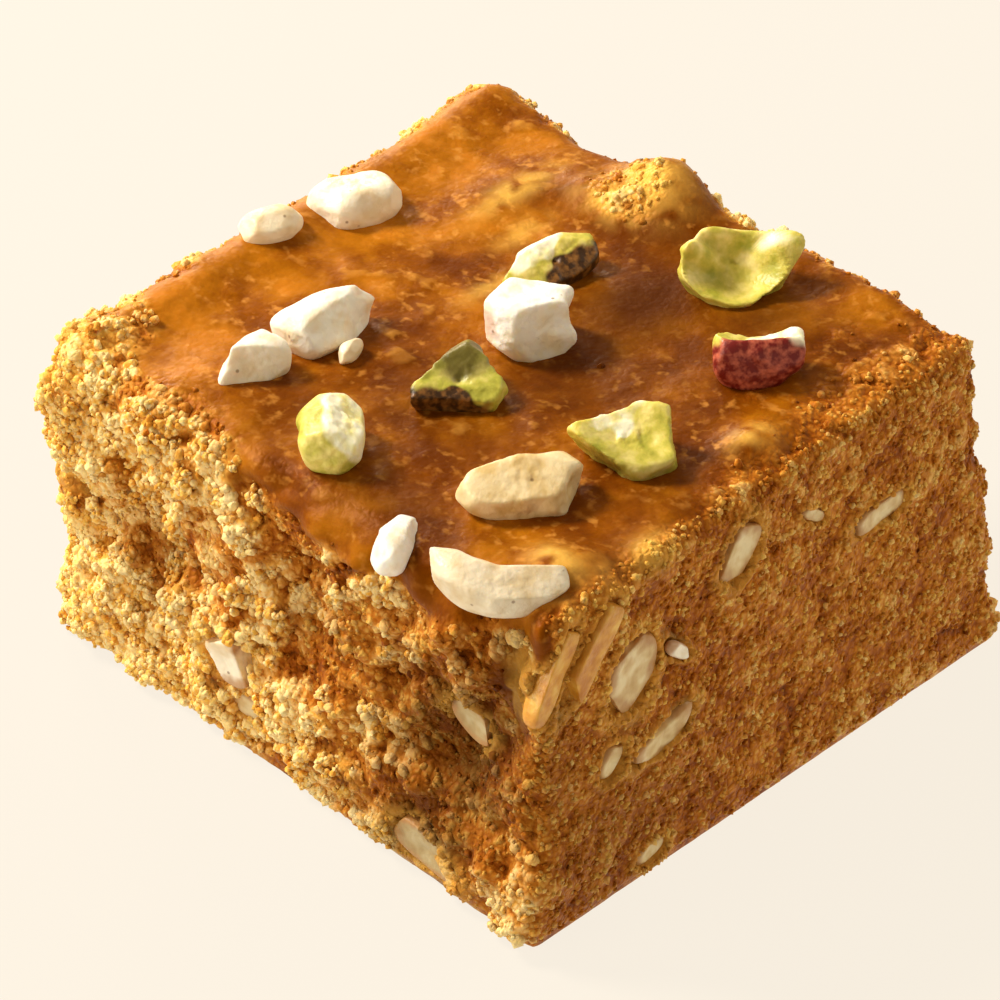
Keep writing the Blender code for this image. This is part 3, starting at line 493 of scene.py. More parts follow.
def nut_form(nut, directions):
    """A nut's surface about its own middle, and how much of each point belongs to a break.

    In each direction the surface lies at the soft least of two distances: the rounded box's, the root of
    the sum of powers, and each break plane's, its distance over the cosine to it. Swells then draw it out
    into horns or dent it, a bend moves the ends sideways, and a hollow sinks the middle of the top.
    """
    half = np.array(nut.half)
    body = np.sum(np.abs(directions / half) ** nut.squareness, axis=1) ** (-1 / nut.squareness)
    closeness = body**-EDGE_SHARPNESS
    broken = np.zeros(len(directions))
    for direction, distance in nut.breaks:
        facing = np.clip(directions @ unit(direction), 1e-6, None)
        broken += (distance / facing) ** -EDGE_SHARPNESS
    closeness += broken
    radius = closeness ** (-1 / EDGE_SHARPNESS)
    for direction, spread, rise in nut.swells:
        angle = np.degrees(np.arccos(np.clip(directions @ unit(direction), -1, 1)))
        radius += rise * np.exp(-((angle / spread) ** 2))
    points = directions * radius[:, None]
    share = points / half
    points[:, 1] += nut.bend * (share[:, 0] ** 2 - 0.4)
    dish = np.clip(1 - 1.25 * np.sum(share[:, :2] ** 2, axis=1), 0, 1)
    points[:, 2] -= nut.hollow * dish * smooth_step(0.0, 0.3, directions[:, 2])
    return points, broken / closeness


def face_axes(face, turn):
    """A nut's own axes on a face, as columns: along it, across it, and straight out of the face."""
    angle = math.radians(turn)
    along = {
        "top": (math.cos(angle), math.sin(angle), 0),
        "right": (0, math.cos(angle), math.sin(angle)),
        "front": (math.cos(angle), 0, math.sin(angle)),
    }[face]
    out = {"top": (0, 0, 1), "right": (1, 0, 0), "front": (0, -1, 0)}[face]
    return np.stack([along, np.cross(out, along), out], axis=1)


def nut_place(nut):
    """Where a nut lies: its middle, and its own axes as columns, turned and leaned on its face."""
    axes = face_axes(nut.face, nut.turn)
    middle = point_on_square(nut.face, *nut.place) + nut.rise * axes[:, 2]
    nose_up, rolled = (math.radians(degrees) for degrees in nut.lean)
    lean = np.array(Matrix.Rotation(-nose_up, 3, "Y") @ Matrix.Rotation(rolled, 3, "X"))
    return middle, axes @ lean


PLACES = {name: nut_place(nut) for name, nut in NUTS.items()}


def footprint(points, name):
    """How far out of a nut's outline each point lies, seen along the nut's own outward axis: 1 on the
    outline."""
    nut, (middle, axes) = NUTS[name], PLACES[name]
    local = (points - middle) @ axes
    share = np.abs(local[:, :2]) / np.array(nut.half[:2])
    share = np.where(np.abs(local[:, 2:3]) > NUT_DEPTH, FAR, share)
    return np.sum(share**nut.squareness, axis=1) ** (1 / nut.squareness)


def inlay_outline(points):
    """How far out of the nearest side face's nut each point lies: 1 on its outline, which is ragged."""
    least = np.full(len(points), FAR)
    for name, nut in NUTS.items():
        if nut.face != "top":
            least = np.minimum(least, footprint(points, name))
    return least + 0.14 * smooth_noise(points, 0.9, 59)


def spots(points, table):
    """The greatest of a table's bells at each point, each as high as its last number."""
    found = np.zeros(len(points))
    for place, radii, most in table.values():
        found = np.maximum(found, most * bell(points, place, radii))
    return found


def pressed_skin(points, outward):
    """1 on the pressed top and where its skin rolls over the front edge, 0.8 in the wet hollow by the near
    corner, and 0 on the crumb of the sides and where the skin is broken. Its border is ragged."""
    ragged = 0.9 * smooth_noise(points, 4.0, 61) + 0.5 * smooth_noise(points, 1.5, 67)
    top = smooth_step(0.80, 0.96, outward[:, 2] + 0.10 * ragged)
    rolled = smooth_step(20.3, 21.5, points[:, 2] + ragged) * smooth_step(-0.1, -0.6, outward[:, 1])
    rolled *= smooth_step(-12.0, -4.0, points[:, 0] + 2 * ragged)
    wet = smooth_step(0.45, 0.85, bell(points, *WET_HOLLOW) + 0.15 * ragged)
    bare = np.clip(smooth_step(0.30, 0.75, spots(points, BARE_SPOTS) + 0.28 * ragged), 0, 1)
    return np.maximum(np.maximum(top, rolled) * (1 - bare), 0.8 * wet)


def crumb_relief(points, outward, skin):
    """How far the crumb stands out of the large form, how light it is, and how much of it is dry and
    golden. Its lightness follows the relief: painted shade darkens the crevices against the crowns.

    Clumps, crumbs and grains are each a field of packed lumps, shaken out of round. Slow noise says where
    the crumb is loose: there it stands out more, and its crowns are golden. The rest is a moist, closer
    mass. The pressed top has low pimples.
    """
    shake = np.stack([smooth_noise(points, 2.1, seed) for seed in (31, 35, 39)], axis=1)
    fine_shake = np.stack([smooth_noise(points, 0.8, seed) for seed in (32, 36, 40)], axis=1)
    clumps = packed_lumps(points + 0.9 * shake, CLUMP_SIZE, 41) - 0.45
    crumbs = packed_lumps(points + 0.45 * shake + 0.22 * fine_shake, CRUMB_SIZE, 47) - 0.5
    grains = packed_lumps(points + 0.22 * fine_shake, GRAIN_SIZE, 53) - 0.5
    loose = smooth_step(-0.30, 0.30, smooth_noise(points, 3.6, 89) + 0.6 * smooth_noise(points, 1.7, 91))
    rough = 1 - skin
    clump, crumb, grain, _, toned = (by_face(outward, CRUMB_RELIEF, column) for column in range(5))
    height = clump * clumps + crumb * crumbs * (0.35 + 0.95 * loose) + grain * grains * (0.5 + 0.7 * loose)
    height = rough * (height - 0.5 * clump)
    pimples = smooth_step(0.05, 0.75, smooth_noise(points, 0.62, 71) + 0.5 * smooth_noise(points, 1.3, 72))
    swells = smooth_step(0.30, 0.85, smooth_noise(points, 2.2, 73))
    height += skin * (0.045 * pimples + 0.11 * swells + 0.12 * smooth_noise(points, 4.4, 79))
    # Variation is high on the lumps' crowns and low in the crevices between them, so light carries painted
    # shade in the crevices.
    variation = 0.42 * clumps + (0.25 + 0.4 * loose) * crumbs + 0.28 * grains
    light = rough * (0.42 + toned * variation)
    pale_stretch = smooth_noise(points, 6.0, 83) > 0
    light += skin * (0.55 * swells * pale_stretch + 0.35 * pimples)
    # Crown rises on the lumps and falls between them. It turns crowns golden and crevices brown, partly the
    # crumb's own colour and partly painted shade.
    crown = np.clip(0.5 + 0.35 * clumps + 0.70 * crumbs + 0.45 * grains, 0, 1)
    return height, np.clip(light, 0, 1), loose, crown


def crumbly_surface(cube):
    """The square's finished surface, and what its material reads at each point: skin, light, dry, the darker
    places and the paler places.

    The crumb sinks under the nuts in the side faces, and a paler lip of it stands up round them. Dry is the
    sum of the face's own dryness, the loose crumb and its crowns, less the darker places. Through the crowns
    it carries painted shade in the crevices. Along the front it falls from its left end to the near corner,
    partly the crumb's own colour and partly painted light where the key light grazes the left end and painted
    shade towards the near corner, and it rises again at its foot. It falls on the top beside the right rim.
    """
    points, outward = square_surface(cube)
    skin = pressed_skin(points, outward)
    height, light, loose, crown = crumb_relief(points, outward, skin)
    outline = inlay_outline(points)
    cover = smooth_step(0.98, 0.82, outline)
    lip = smooth_step(1.45, 1.05, outline) * (1 - cover)
    height = height * (1 - 0.75 * cover) - 0.40 * cover + 0.22 * lip
    height *= smooth_step(-0.5, 0.6, points[:, 2])
    moist_and_shade = spots(points, MOIST_AND_SHADED_SPOTS)
    butter_and_glow = spots(points, BUTTERY_AND_GLOWING_SPOTS) * smooth_step(-0.8, 0.2, smooth_noise(points, 1.2, 97))
    butter_and_glow = np.maximum(butter_and_glow, 0.30 * smooth_step(1.45, 1.0, outline))
    front = np.clip(-outward[:, 1], 0, 1) ** 2
    # Along the front the crumb turns paler towards its left end: partly its own drier crumb, partly painted
    # light where the key light grazes it and painted shade towards the near corner.
    key_lit_leftness, foot = smooth_step(14.0, -20.0, points[:, 0]), smooth_step(7.0, 2.0, points[:, 2])
    bias = by_face(outward, CRUMB_RELIEF, 3) + front * (0.40 * key_lit_leftness - 0.20 + 0.18 * foot)
    bias -= 0.5 * np.clip(outward[:, 2], 0, 1) ** 2 * smooth_step(8.0, 14.0, points[:, 0])
    dry = smooth_step(0.25, 0.85, bias + 0.50 * loose + 0.60 * crown - 0.42 + 0.35 * butter_and_glow - 0.45 * moist_and_shade)
    looks = {"skin": skin, "light": light, "dry": dry, "moist_and_shade": moist_and_shade, "butter_and_glow": butter_and_glow}
    points = points + outward * height[:, None]
    points[:, 2] = np.maximum(points[:, 2], 0)
    points[cube[:, 2] <= -1, 2] = 0
    return points, outward, looks


def cube_grid(cells):
    """The five upright and top faces of a cube of half side 1 as grids of squares that share their edges,
    and a fan to the middle of the base. Each face is a function of its two other coordinates."""
    points, faces, count = [], [], 0
    for axis, end in ((2, 1), (0, 1), (0, -1), (1, 1), (1, -1)):
        first, second = (axis + 1) % 3, (axis + 2) % 3
        u, v = np.meshgrid(
            np.linspace(-1, 1, cells[first] + 1), np.linspace(-1, 1, cells[second] + 1), indexing="ij"
        )
        face = np.full((u.size, 3), float(end))
        face[:, first], face[:, second] = u.ravel(), v.ravel()
        index = np.arange(u.size).reshape(u.shape) + count
        squares = np.stack([index[:-1, :-1], index[1:, :-1], index[1:, 1:], index[:-1, 1:]], axis=-1)
        squares = squares.reshape(-1, 4)
        points.append(face)
        faces.append(squares if end > 0 else squares[:, ::-1])
        count += u.size
    points, faces = np.concatenate(points), np.concatenate(faces)
    rounded = np.round(points * 1e6).astype(np.int64)
    _, first_seen, merged = np.unique(rounded, axis=0, return_index=True, return_inverse=True)
    return points[first_seen], merged.reshape(-1)[faces]


def base_fan(points, faces):
    """Triangles from the rim round the base to its middle, which close the square below."""
    ends = np.concatenate([np.stack([faces[:, i], faces[:, (i + 1) % 4]], axis=1) for i in range(4)])
    low = ends[(points[ends[:, 0], 2] <= -1) & (points[ends[:, 1], 2] <= -1)]
    return np.stack([low[:, 1], low[:, 0], np.full(len(low), len(points))], axis=1)


def mesh_from_arrays(name, points, quads, triangles, attributes, material):
    """An object at the origin whose mesh has these points in millimetres, these quads and triangles, and a
    number at each point for every attribute. It is shaded smooth."""
    mesh = bpy.data.meshes.new(name)
    mesh.vertices.add(len(points))
    mesh.vertices.foreach_set("co", (points * MM).astype(np.float32).ravel())
    corners = np.concatenate([quads.ravel(), triangles.ravel()])
    sizes = np.concatenate([np.full(len(quads), 4), np.full(len(triangles), 3)])
    mesh.loops.add(len(corners))
    mesh.loops.foreach_set("vertex_index", corners.astype(np.int32))
    mesh.polygons.add(len(sizes))
    mesh.polygons.foreach_set("loop_start", np.concatenate([[0], np.cumsum(sizes)[:-1]]).astype(np.int32))
    mesh.polygons.foreach_set("loop_total", sizes.astype(np.int32))
    mesh.update(calc_edges=True)
    mesh.shade_smooth()
    for key, values in attributes.items():
        stored = mesh.attributes.new(key, "FLOAT", "POINT")
        stored.data.foreach_set("value", values.astype(np.float32))
    mesh.materials.append(material)
    piece = bpy.data.objects.new(name, mesh)
    bpy.context.scene.collection.objects.link(piece)
    return piece


def make_square(material):
    """The whole square in one closed mesh."""
    cube, quads = cube_grid(BLOCK_CELLS)
    fan = base_fan(cube, quads)
    points, outward, looks = crumbly_surface(cube)
    looks = {key: np.append(values, 0.0) for key, values in looks.items()}
    points = np.append(points, [[0.0, 0.0, 0.0]], axis=0)
    return mesh_from_arrays("barfi_crumb", points, quads, fan, looks, material)


def ball_grid(rings, spokes):
    """Directions on a ball by two angles, ring by ring from pole to pole, with its quads and the fans at
    its poles."""
    polar = np.linspace(0, math.pi, rings + 1)[1:-1]
    around = np.arange(spokes) * 2 * math.pi / spokes
    t, p = np.meshgrid(polar, around, indexing="ij")
    ring = np.stack([np.cos(t), np.sin(t) * np.cos(p), np.sin(t) * np.sin(p)], axis=-1).reshape(-1, 3)
    directions = np.concatenate([ring, [[1.0, 0, 0], [-1.0, 0, 0]]])
    index = np.arange(len(ring)).reshape(t.shape)
    after = np.roll(index, -1, axis=1)
    quads = np.stack([index[:-1], index[1:], after[1:], after[:-1]], axis=-1).reshape(-1, 4)
    start = np.stack([np.full(spokes, len(ring)), index[0], after[0]], axis=1)
    end = np.stack([np.full(spokes, len(ring) + 1), after[-1], index[-1]], axis=1)
    return directions, quads, np.concatenate([start, end])


def chipped(local, seed, least):
    """Takes small flat chips off a nut about its own middle. For each of some random ways, a plane lies at
    a share of the nut's reach that way, from the least share up, and what lies past it is drawn back to it
    softly."""
    rng = np.random.default_rng(seed)
    for way in rng.normal(size=(CHIPS, 3)):
        along = local @ unit(way)
        past = np.clip(along / (along.max() * rng.uniform(least, MOST_CHIP)), 0, None)
        local = local / ((1 + past**CHIP_SHARPNESS) ** (1 / CHIP_SHARPNESS))[:, None]
    return local


def knife_cut(local, level):
    """What the knife left of a nut in a side face: whatever rises past the level is drawn down to a flat
    cut."""
    below = np.logaddexp(0, CUT_SHARPNESS * (level - local[:, 2])) / CUT_SHARPNESS
    return np.column_stack([local[:, :2], level - below])


def make_nut(name, nut, material):
    """A nut as a ball grid drawn out to its form, chipped if it lies on top, cut flat if the knife went
    through it, then roughened along each direction: a grainy break, and a smoother skin with slow
    ripples."""
    directions, quads, fans = ball_grid(NUT_RINGS, NUT_SPOKES)
    local, broken = nut_form(nut, directions)
    if nut.face == "top":
        least = LEAST_HOLLOW_CHIP if nut.hollow else LEAST_CHIP
        local = chipped(local, list(NUTS).index(name), least)
    if nut.kind == "inlay":
        local = knife_cut(local, CUT_STAND - nut.rise)
    middle, axes = PLACES[name]
    points = middle + local @ axes.T
    grainy = 0.5 * smooth_noise(points, 0.45, 101) + 0.5 * (packed_lumps(points, 0.6, 107) - 0.5)
    ripples = smooth_noise(points, 1.5, 103)
    dents = packed_lumps(points + 0.3 * ripples[:, None], 1.9, 109) - 0.5
    height = broken * (0.15 * grainy + 0.10 * ripples - 0.20 * dents)
    height += (1 - broken) * (0.03 * grainy + 0.07 * ripples - 0.08 * dents)
    height *= BREAK_ROUGHNESS[nut.kind]
    height -= DRAWN_IN * (nut.face != "top")
    points = points + (directions @ axes.T) * height[:, None]
    return mesh_from_arrays(name + "_nut", points, quads, fans, nut_looks(name, points, middle), material)


def nut_looks(name, points, middle):
    """What a nut's material reads at each point. Warm and red are the same all over it. Skin, cream and
    shade each cover what lies their way from the middle, with a ragged border. Sunk is the edge where a nut
    in a side face disappears into the crumb, ragged too, and faint on the candied ones."""
    seen = NUT_LOOKS.get(name, {})
    way = (points - middle) / np.linalg.norm(points - middle, axis=1, keepdims=True)
    ragged = 0.22 * smooth_noise(points, 1.1, 113)
    torn = 0.15 * smooth_noise(points, 0.5, 127)
    nut = NUTS[name]
    sunk = smooth_step(0.50, 0.84, footprint(points, name) + 0.8 * ragged + torn) * (nut.face != "top")
    looks = {"sunk": sunk * (0.35 if nut.kind == "candied" else 1.0)}
    for key, usual in (("warm", 0.5), ("red", 0.0)):
        looks[key] = np.full(len(points), seen.get(key, usual))
    for key, border in (("skin", 0.08), ("cream", 0.08), ("shade", 0.35)):
        facing, least, most = (*seen.get(key, ((0, 0, 1), FAR)), 1.0)[:3]
        looks[key] = most * smooth_step(least - border, least + border, way @ unit(facing) + ragged)
    return looks


def srgb(code):
    """A hex colour as linear light, with full cover."""
    values = [int(code[i : i + 2], 16) / 255 for i in (1, 3, 5)]
    return (*(v / 12.92 if v <= 0.04045 else ((v + 0.055) / 1.055) ** 2.4 for v in values), 1.0)


def add(tree, kind, inputs=(), out=0, stops=(), **settings):
    """Adds one shader node and returns the output asked for. Inputs are numbers, colours or the outputs to
    link, by place or by name. Stops are a ramp's places and hex colours, and settings are the node's own
    properties."""
    made = tree.nodes.new("ShaderNode" + kind)
    for key, value in settings.items():
        setattr(made, key, value)
    for key, value in (inputs.items() if isinstance(inputs, dict) else enumerate(inputs)):
        if isinstance(value, bpy.types.NodeSocket):
            tree.links.new(value, made.inputs[key])
        elif value is not None:
            made.inputs[key].default_value = value
    for number, (at, code) in enumerate(stops):
        if number >= len(made.color_ramp.elements):
            made.color_ramp.elements.new(at)
        made.color_ramp.elements[number].position = at
        made.color_ramp.elements[number].color = srgb(code)
    return made.outputs[out] if made.outputs else made


def new_material(name):
    """An empty material. Returns the material and its tree."""
    material = bpy.data.materials.new(name)
    material.use_nodes = True
    material.node_tree.nodes.clear()
    return material, material.node_tree


def shaken(tree, place, size, reach):
    """Object coordinates shifted by noise, so that a cellular pattern loses its even roundness. Lengths are
    in millimetres."""
    drift = add(tree, "TexNoise", {"Vector": place, "Scale": 1 / (size * MM), "Detail": 1.0}, out="Color")
    centred = add(tree, "VectorMath", [drift, (0.5, 0.5, 0.5)], operation="SUBTRACT")
    return add(tree, "VectorMath", [centred, (reach * MM,) * 3, place], operation="MULTIPLY_ADD")


def barfi_material():
    """Barfi, cooked milk solids and flour bound with ghee, broken and pressed by hand. The broken crumb is
    matt and sandy, golden on its crowns and brown in its crevices, partly the crumb's own colour and partly
    painted shade that follows the relief. The pressed top is amber, waxy with ghee, with paler flecks just
    under its film."""
    material, tree = new_material("Ghee-rich barfi crumb")
    place = add(tree, "TexCoord", out="Object")
    skin, light, dry, moist_and_shade, butter_and_glow = (
        add(tree, "Attribute", out="Fac", attribute_name=name)
        for name in ("skin", "light", "dry", "moist_and_shade", "butter_and_glow")
    )
    # Sandy grains 0.42 mm across, dust of 0.22 mm, ragged flecks up to 0.7 mm across, and blotches of 5 mm.
    grain_gap = add(tree, "TexVoronoi", {"Vector": shaken(tree, place, 0.7, 0.5), "Scale": 1 / (0.42 * MM)})
    grain = add(tree, "MapRange", [grain_gap, 0.75, 0.1])
    dust, crumble, fleck_patch, blotch = (
        add(tree, "TexNoise", {
            "Vector": place, "Scale": 1 / (size * MM), "Detail": detail, "Roughness": rough,
        })
        for size, detail, rough in ((0.22, 1.0, 0.5), (0.8, 2.0, 0.5), (2.8, 2.0, 0.5), (5, 5.0, 0.6))
    )
    fleck_core = add(tree, "MapRange", [crumble, 0.55, 0.70, 0.0, 0.65])
    fleck_share = add(tree, "MapRange", [fleck_patch, 0.36, 0.56])
    fleck = add(tree, "Math", [fleck_core, fleck_share], operation="MULTIPLY")
    # Crumb: its tone is the sum of the relief's lightness, which is painted shade in the crevices, the grains
    # and the dust.
    lit = add(tree, "Math", [light, 0.72], operation="MULTIPLY")
    sandy = add(tree, "Math", [grain, 0.26, lit], operation="MULTIPLY_ADD")
    tone = add(tree, "Math", [dust, 0.28, sandy], operation="MULTIPLY_ADD")
    wet_crumb = add(
        tree, "ValToRGB", [tone],
        stops=((0.20, "#4e2003"), (0.46, "#934a0a"), (0.72, "#c67a24"), (0.95, "#ecb656")),
    )
    dry_crumb = add(
        tree, "ValToRGB", [tone],
        stops=((0.20, "#a4580e"), (0.42, "#d89232"), (0.62, "#f2b854"), (0.82, "#ffe09c")),
    )
    # Top: amber that drifts from brown to orange, with a painted glow that turns it more orange towards the
    # left rim, where the key light falls, and with flecks and buttery blobs.
    across = add(tree, "SeparateXYZ", [place])
    lit_rim_glow = add(tree, "MapRange", [across, -22 * MM, -8 * MM, 0.17, 0.0])
    drift = add(tree, "Math", [blotch, lit_rim_glow], operation="ADD")
    amber = add(
        tree, "ValToRGB", [drift],
        stops=((0.36, "#683000"), (0.5, "#884802"), (0.62, "#a8640a"), (0.86, "#d28020")),
    )
    top, blob = amber, add(tree, "MapRange", [light, 0.3, 0.9, 0.0, 0.75])
    for share, over in ((fleck, srgb("#cf8c3a")), (blob, srgb("#d4943a"))):
        top = add(tree, "Mix", {0: share, 6: top, 7: over}, out=2, data_type="RGBA")
    # Crumb and top meet where the skin ends. The darker places darken both, with painted shade in the front's
    # hollows and towards the near corner. The paler places lie over all, a painted glow at the left edge
    # among them.
    colour, moist_and_shade_share = wet_crumb, add(tree, "MapRange", [moist_and_shade, 0.0, 1.1, 0.0, 0.92])
    layers = ((dry, dry_crumb), (skin, top), (moist_and_shade_share, srgb("#4a1f02")), (butter_and_glow, srgb("#f4c058")))
    for share, over in layers:
        colour = add(tree, "Mix", {0: share, 6: colour, 7: over}, out=2, data_type="RGBA")
    relief = add(tree, "Math", [dust, 0.45, grain], operation="MULTIPLY_ADD")
    strength = add(tree, "MapRange", [skin, 0.0, 1.0, 0.60, 0.12])
    shader = add(tree, "BsdfPrincipled", {
        "Base Color": colour,
        "Roughness": add(tree, "MapRange", [skin, 0.0, 1.0, 0.44, 0.46]),
        "Normal": add(tree, "Bump", {"Height": relief, "Strength": strength, "Distance": 0.20 * MM}),
        "Subsurface Weight": 0.25,
        "Subsurface Radius": (1.0, 0.7, 0.35),
        "Subsurface Scale": 0.6 * MM,
        "Specular IOR Level": 0.17,
        "Specular Tint": srgb("#ffa048"),
    })
    add(tree, "OutputMaterial", [shader])
    return material


def cashew_material():
    """Cashew, broken by hand: ivory flesh with a close, satin break, beige where it is roasted, a few dark
    specks and traces of its pinkish skin."""
    material, tree = new_material("Broken cashew")
    place = add(tree, "TexCoord", out="Object")
    warm, skin = (add(tree, "Attribute", out="Fac", attribute_name=name) for name in ("warm", "skin"))
    blotch = add(tree, "TexNoise", {"Vector": place, "Scale": 1 / (1.4 * MM), "Detail": 2.0})
    ivory = add(tree, "ValToRGB", [blotch], stops=((0.35, "#f6ead2"), (0.55, "#fffcf4")))
    beige = add(tree, "ValToRGB", [blotch], stops=((0.35, "#d8b876"), (0.6, "#f2dcaa")))
    trace = add(tree, "Math", [skin, 0.55], operation="MULTIPLY")
    gap = add(tree, "TexVoronoi", {"Vector": place, "Scale": 1 / (1.5 * MM)})
    speck = add(tree, "MapRange", [gap, 0.10, 0.05, 0.0, 0.7])
    colour = ivory
    for share, over in ((warm, beige), (trace, srgb("#cf9472")), (speck, srgb("#7a5430"))):
        colour = add(tree, "Mix", {0: share, 6: colour, 7: over}, out=2, data_type="RGBA")
    return finish_kernel(material, tree, place, colour, 0.42)


def pistachio_material():
    """Pistachio, broken by hand: green flesh, deeper in its folds and creamy yellow where it is cut, and a
    thin wrinkled skin from brown to maroon."""
    material, tree = new_material("Broken pistachio")
    place = add(tree, "TexCoord", out="Object")
    warm, cream, skin, red = (
        add(tree, "Attribute", out="Fac", attribute_name=name) for name in ("warm", "cream", "skin", "red")
    )
    blotch = add(tree, "TexNoise", {"Vector": place, "Scale": 1 / (1.3 * MM), "Detail": 3.0})
    wrinkle = add(tree, "TexNoise", {"Vector": place, "Scale": 1 / (0.5 * MM), "Detail": 2.0})
    green = add(tree, "ValToRGB", [blotch], stops=((0.32, "#868426"), (0.5, "#b8b646"), (0.66, "#dccf6a")))
    yellow = add(tree, "ValToRGB", [blotch], stops=((0.32, "#b4b03c"), (0.5, "#dccc5c"), (0.66, "#f8e690")))
    cut = add(tree, "ValToRGB", [blotch], stops=((0.35, "#f8ec9c"), (0.55, "#fffbdc")))
    brown = add(tree, "ValToRGB", [wrinkle], stops=((0.4, "#3e2408"), (0.65, "#8a5c28")))
    maroon = add(tree, "ValToRGB", [wrinkle], stops=((0.4, "#72150e"), (0.68, "#c4664c")))
    husk = add(tree, "Mix", {0: red, 6: brown, 7: maroon}, out=2, data_type="RGBA")
    colour = green
    for share, over in ((warm, yellow), (cream, cut), (skin, husk)):
        colour = add(tree, "Mix", {0: share, 6: colour, 7: over}, out=2, data_type="RGBA")
    return finish_kernel(material, tree, place, colour, 0.40)


def steeped_material(name, stops, roughness):
    """A kernel steeped in ghee or syrup inside the sweet: translucent flesh that clouds over 1.2 mm."""
    material, tree = new_material(name)
    place = add(tree, "TexCoord", out="Object")
    blotch = add(tree, "TexNoise", {"Vector": place, "Scale": 1 / (1.2 * MM), "Detail": 2.0})
    return finish_kernel(material, tree, place, add(tree, "ValToRGB", [blotch], stops=stops), roughness)


def finish_kernel(material, tree, place, flesh, roughness):
    """What all kernels share: a fine grain 0.3 mm across in low bump, soft light through oily flesh, and an
    edge that takes the crumb's colour where the kernel sinks into it."""
    grain = add(tree, "TexNoise", {"Vector": place, "Scale": 1 / (0.3 * MM), "Detail": 2.0})
    shade, sunk = (add(tree, "Attribute", out="Fac", attribute_name=name) for name in ("shade", "sunk"))
    colour, film = flesh, add(tree, "MapRange", [sunk, 0.0, 1.0, 0.0, 0.80])
    # Shade is painted shade on some nuts' undersides and dented tops, and an even darker tone on others. The
    # film is the crumb's colour over a sunk edge.
    for share, over in ((shade, srgb("#4a3a0c")), (film, srgb("#b27c40"))):
        colour = add(tree, "Mix", {0: share, 6: colour, 7: over}, out=2, data_type="RGBA")
    shader = add(tree, "BsdfPrincipled", {
        "Base Color": colour,
        "Roughness": roughness,
        "Normal": add(tree, "Bump", {"Height": grain, "Strength": 0.50, "Distance": 0.10 * MM}),
        "Subsurface Weight": 0.25,
        "Subsurface Radius": (1.0, 0.75, 0.45),
        "Subsurface Scale": 0.6 * MM,
        "Specular IOR Level": 0.4,
    })
    add(tree, "OutputMaterial", [shader])
    return material


def drawn_sites(rng, count, faces, chance):
    """Points of the finished surface drawn evenly over the faces named. Each is kept by the chance that its
    look gives it, less where the skin is pressed, and none lies over a nut or at the foot."""
    cube = rng.uniform(-1, 1, (count * 5, 3))
    which = rng.integers(0, len(faces), len(cube))
    for number, (axis, end) in enumerate(faces):
        cube[which == number, axis] = end
    points, outward, looks = crumbly_surface(cube)
    look, least, gain, power = chance
    likely = (least + gain * looks[look]) ** power * (1 - looks["skin"]) ** 2
    keep = likely > rng.uniform(0, 1, len(points))
    keep &= (inlay_outline(points) > 0.86) & (points[:, 2] > 0.4)
    keep = np.flatnonzero(keep)[:count]
    return points[keep], outward[keep], {key: values[keep] for key, values in looks.items()}


def grain_mesh(name, rng, centres, size, looks, material):
    """Grains in one mesh: a small ball of few faces, stretched, turned and knocked out of round for each
    grain."""
    directions, quads, fans = ball_grid(GRAIN_RINGS, GRAIN_SPOKES)
    stretch = rng.uniform(0.72, 1.25, (len(centres), 1, 3))
    knocks = rng.uniform(0.72, 1.18, (len(centres), len(directions), 1))
    balls = directions[None] * stretch * knocks * (size / 2)[:, None, None]
    balls = np.einsum("nij,nkj->nki", random_turns(rng, len(centres)), balls)
    vertices = (balls + centres[:, None]).reshape(-1, 3)
    vertices[:, 2] = np.maximum(vertices[:, 2], GRAIN_CLEARANCE)
    step = (np.arange(len(centres)) * len(directions))[:, None, None]
    looks = {key: np.repeat(values, len(directions)) for key, values in looks.items()}
    looks["skin"] = np.zeros(len(vertices))
    quads, fans = (quads + step).reshape(-1, 4), (fans + step).reshape(-1, 3)
    return mesh_from_arrays(name, vertices, quads, fans, looks, material)


def strew_grains(name, count, seed, faces, sizes, chance, material):
    """Single grains, sunk to their middles in the crumb."""
    rng = np.random.default_rng(seed)
    points, outward, looks = drawn_sites(rng, count, faces, chance)
    size = rng.uniform(0, 1, len(points)) ** 1.6 * (sizes[1] - sizes[0]) + sizes[0]
    looks["light"] = np.clip(looks["light"] + 0.10 + rng.normal(0, 0.15, len(points)), 0, 1)
    looks["dry"] = np.clip(looks["dry"] + rng.normal(0, 0.18, len(points)), 0, 1)
    return grain_mesh(name, rng, points - outward * (0.10 * size)[:, None], size, looks, material)


def strew_clods(name, count, seed, faces, sizes, chance, material):
    """Clods of golden crumb, each a heap of grains drawn evenly from a ball that is flattened to 0.4 of its
    height along the outward direction. Small clods are the most usual, and a clod has more grains as its
    radius grows."""
    rng = np.random.default_rng(seed)
    points, outward, looks = drawn_sites(rng, count, faces, chance)
    radius = rng.uniform(0, 1, len(points)) ** 1.4 * 0.70 + 0.25
    grains = np.round(3 + 17 * radius**2).astype(int)
    of = np.repeat(np.arange(len(points)), grains)
    cloud = rng.normal(size=(len(of), 3))
    cloud *= (radius[of] * rng.uniform(0, 1, len(of)) ** (1 / 3) / np.linalg.norm(cloud, axis=1))[:, None]
    cloud -= 0.6 * outward[of] * np.sum(cloud * outward[of], axis=1, keepdims=True)
    size = rng.uniform(0, 1, len(of)) ** 1.4 * (sizes[1] - sizes[0]) + sizes[0]
    pale = rng.normal(0.10, 0.12, len(points))
    looks = {key: values[of] for key, values in looks.items()}
    looks["light"] = np.clip(0.52 + pale[of] + rng.normal(0, 0.07, len(of)), 0, 1)
    looks["dry"] = np.clip(looks["dry"] + 0.30, 0, 1)
    return grain_mesh(name, rng, points[of] + cloud, size, looks, material)


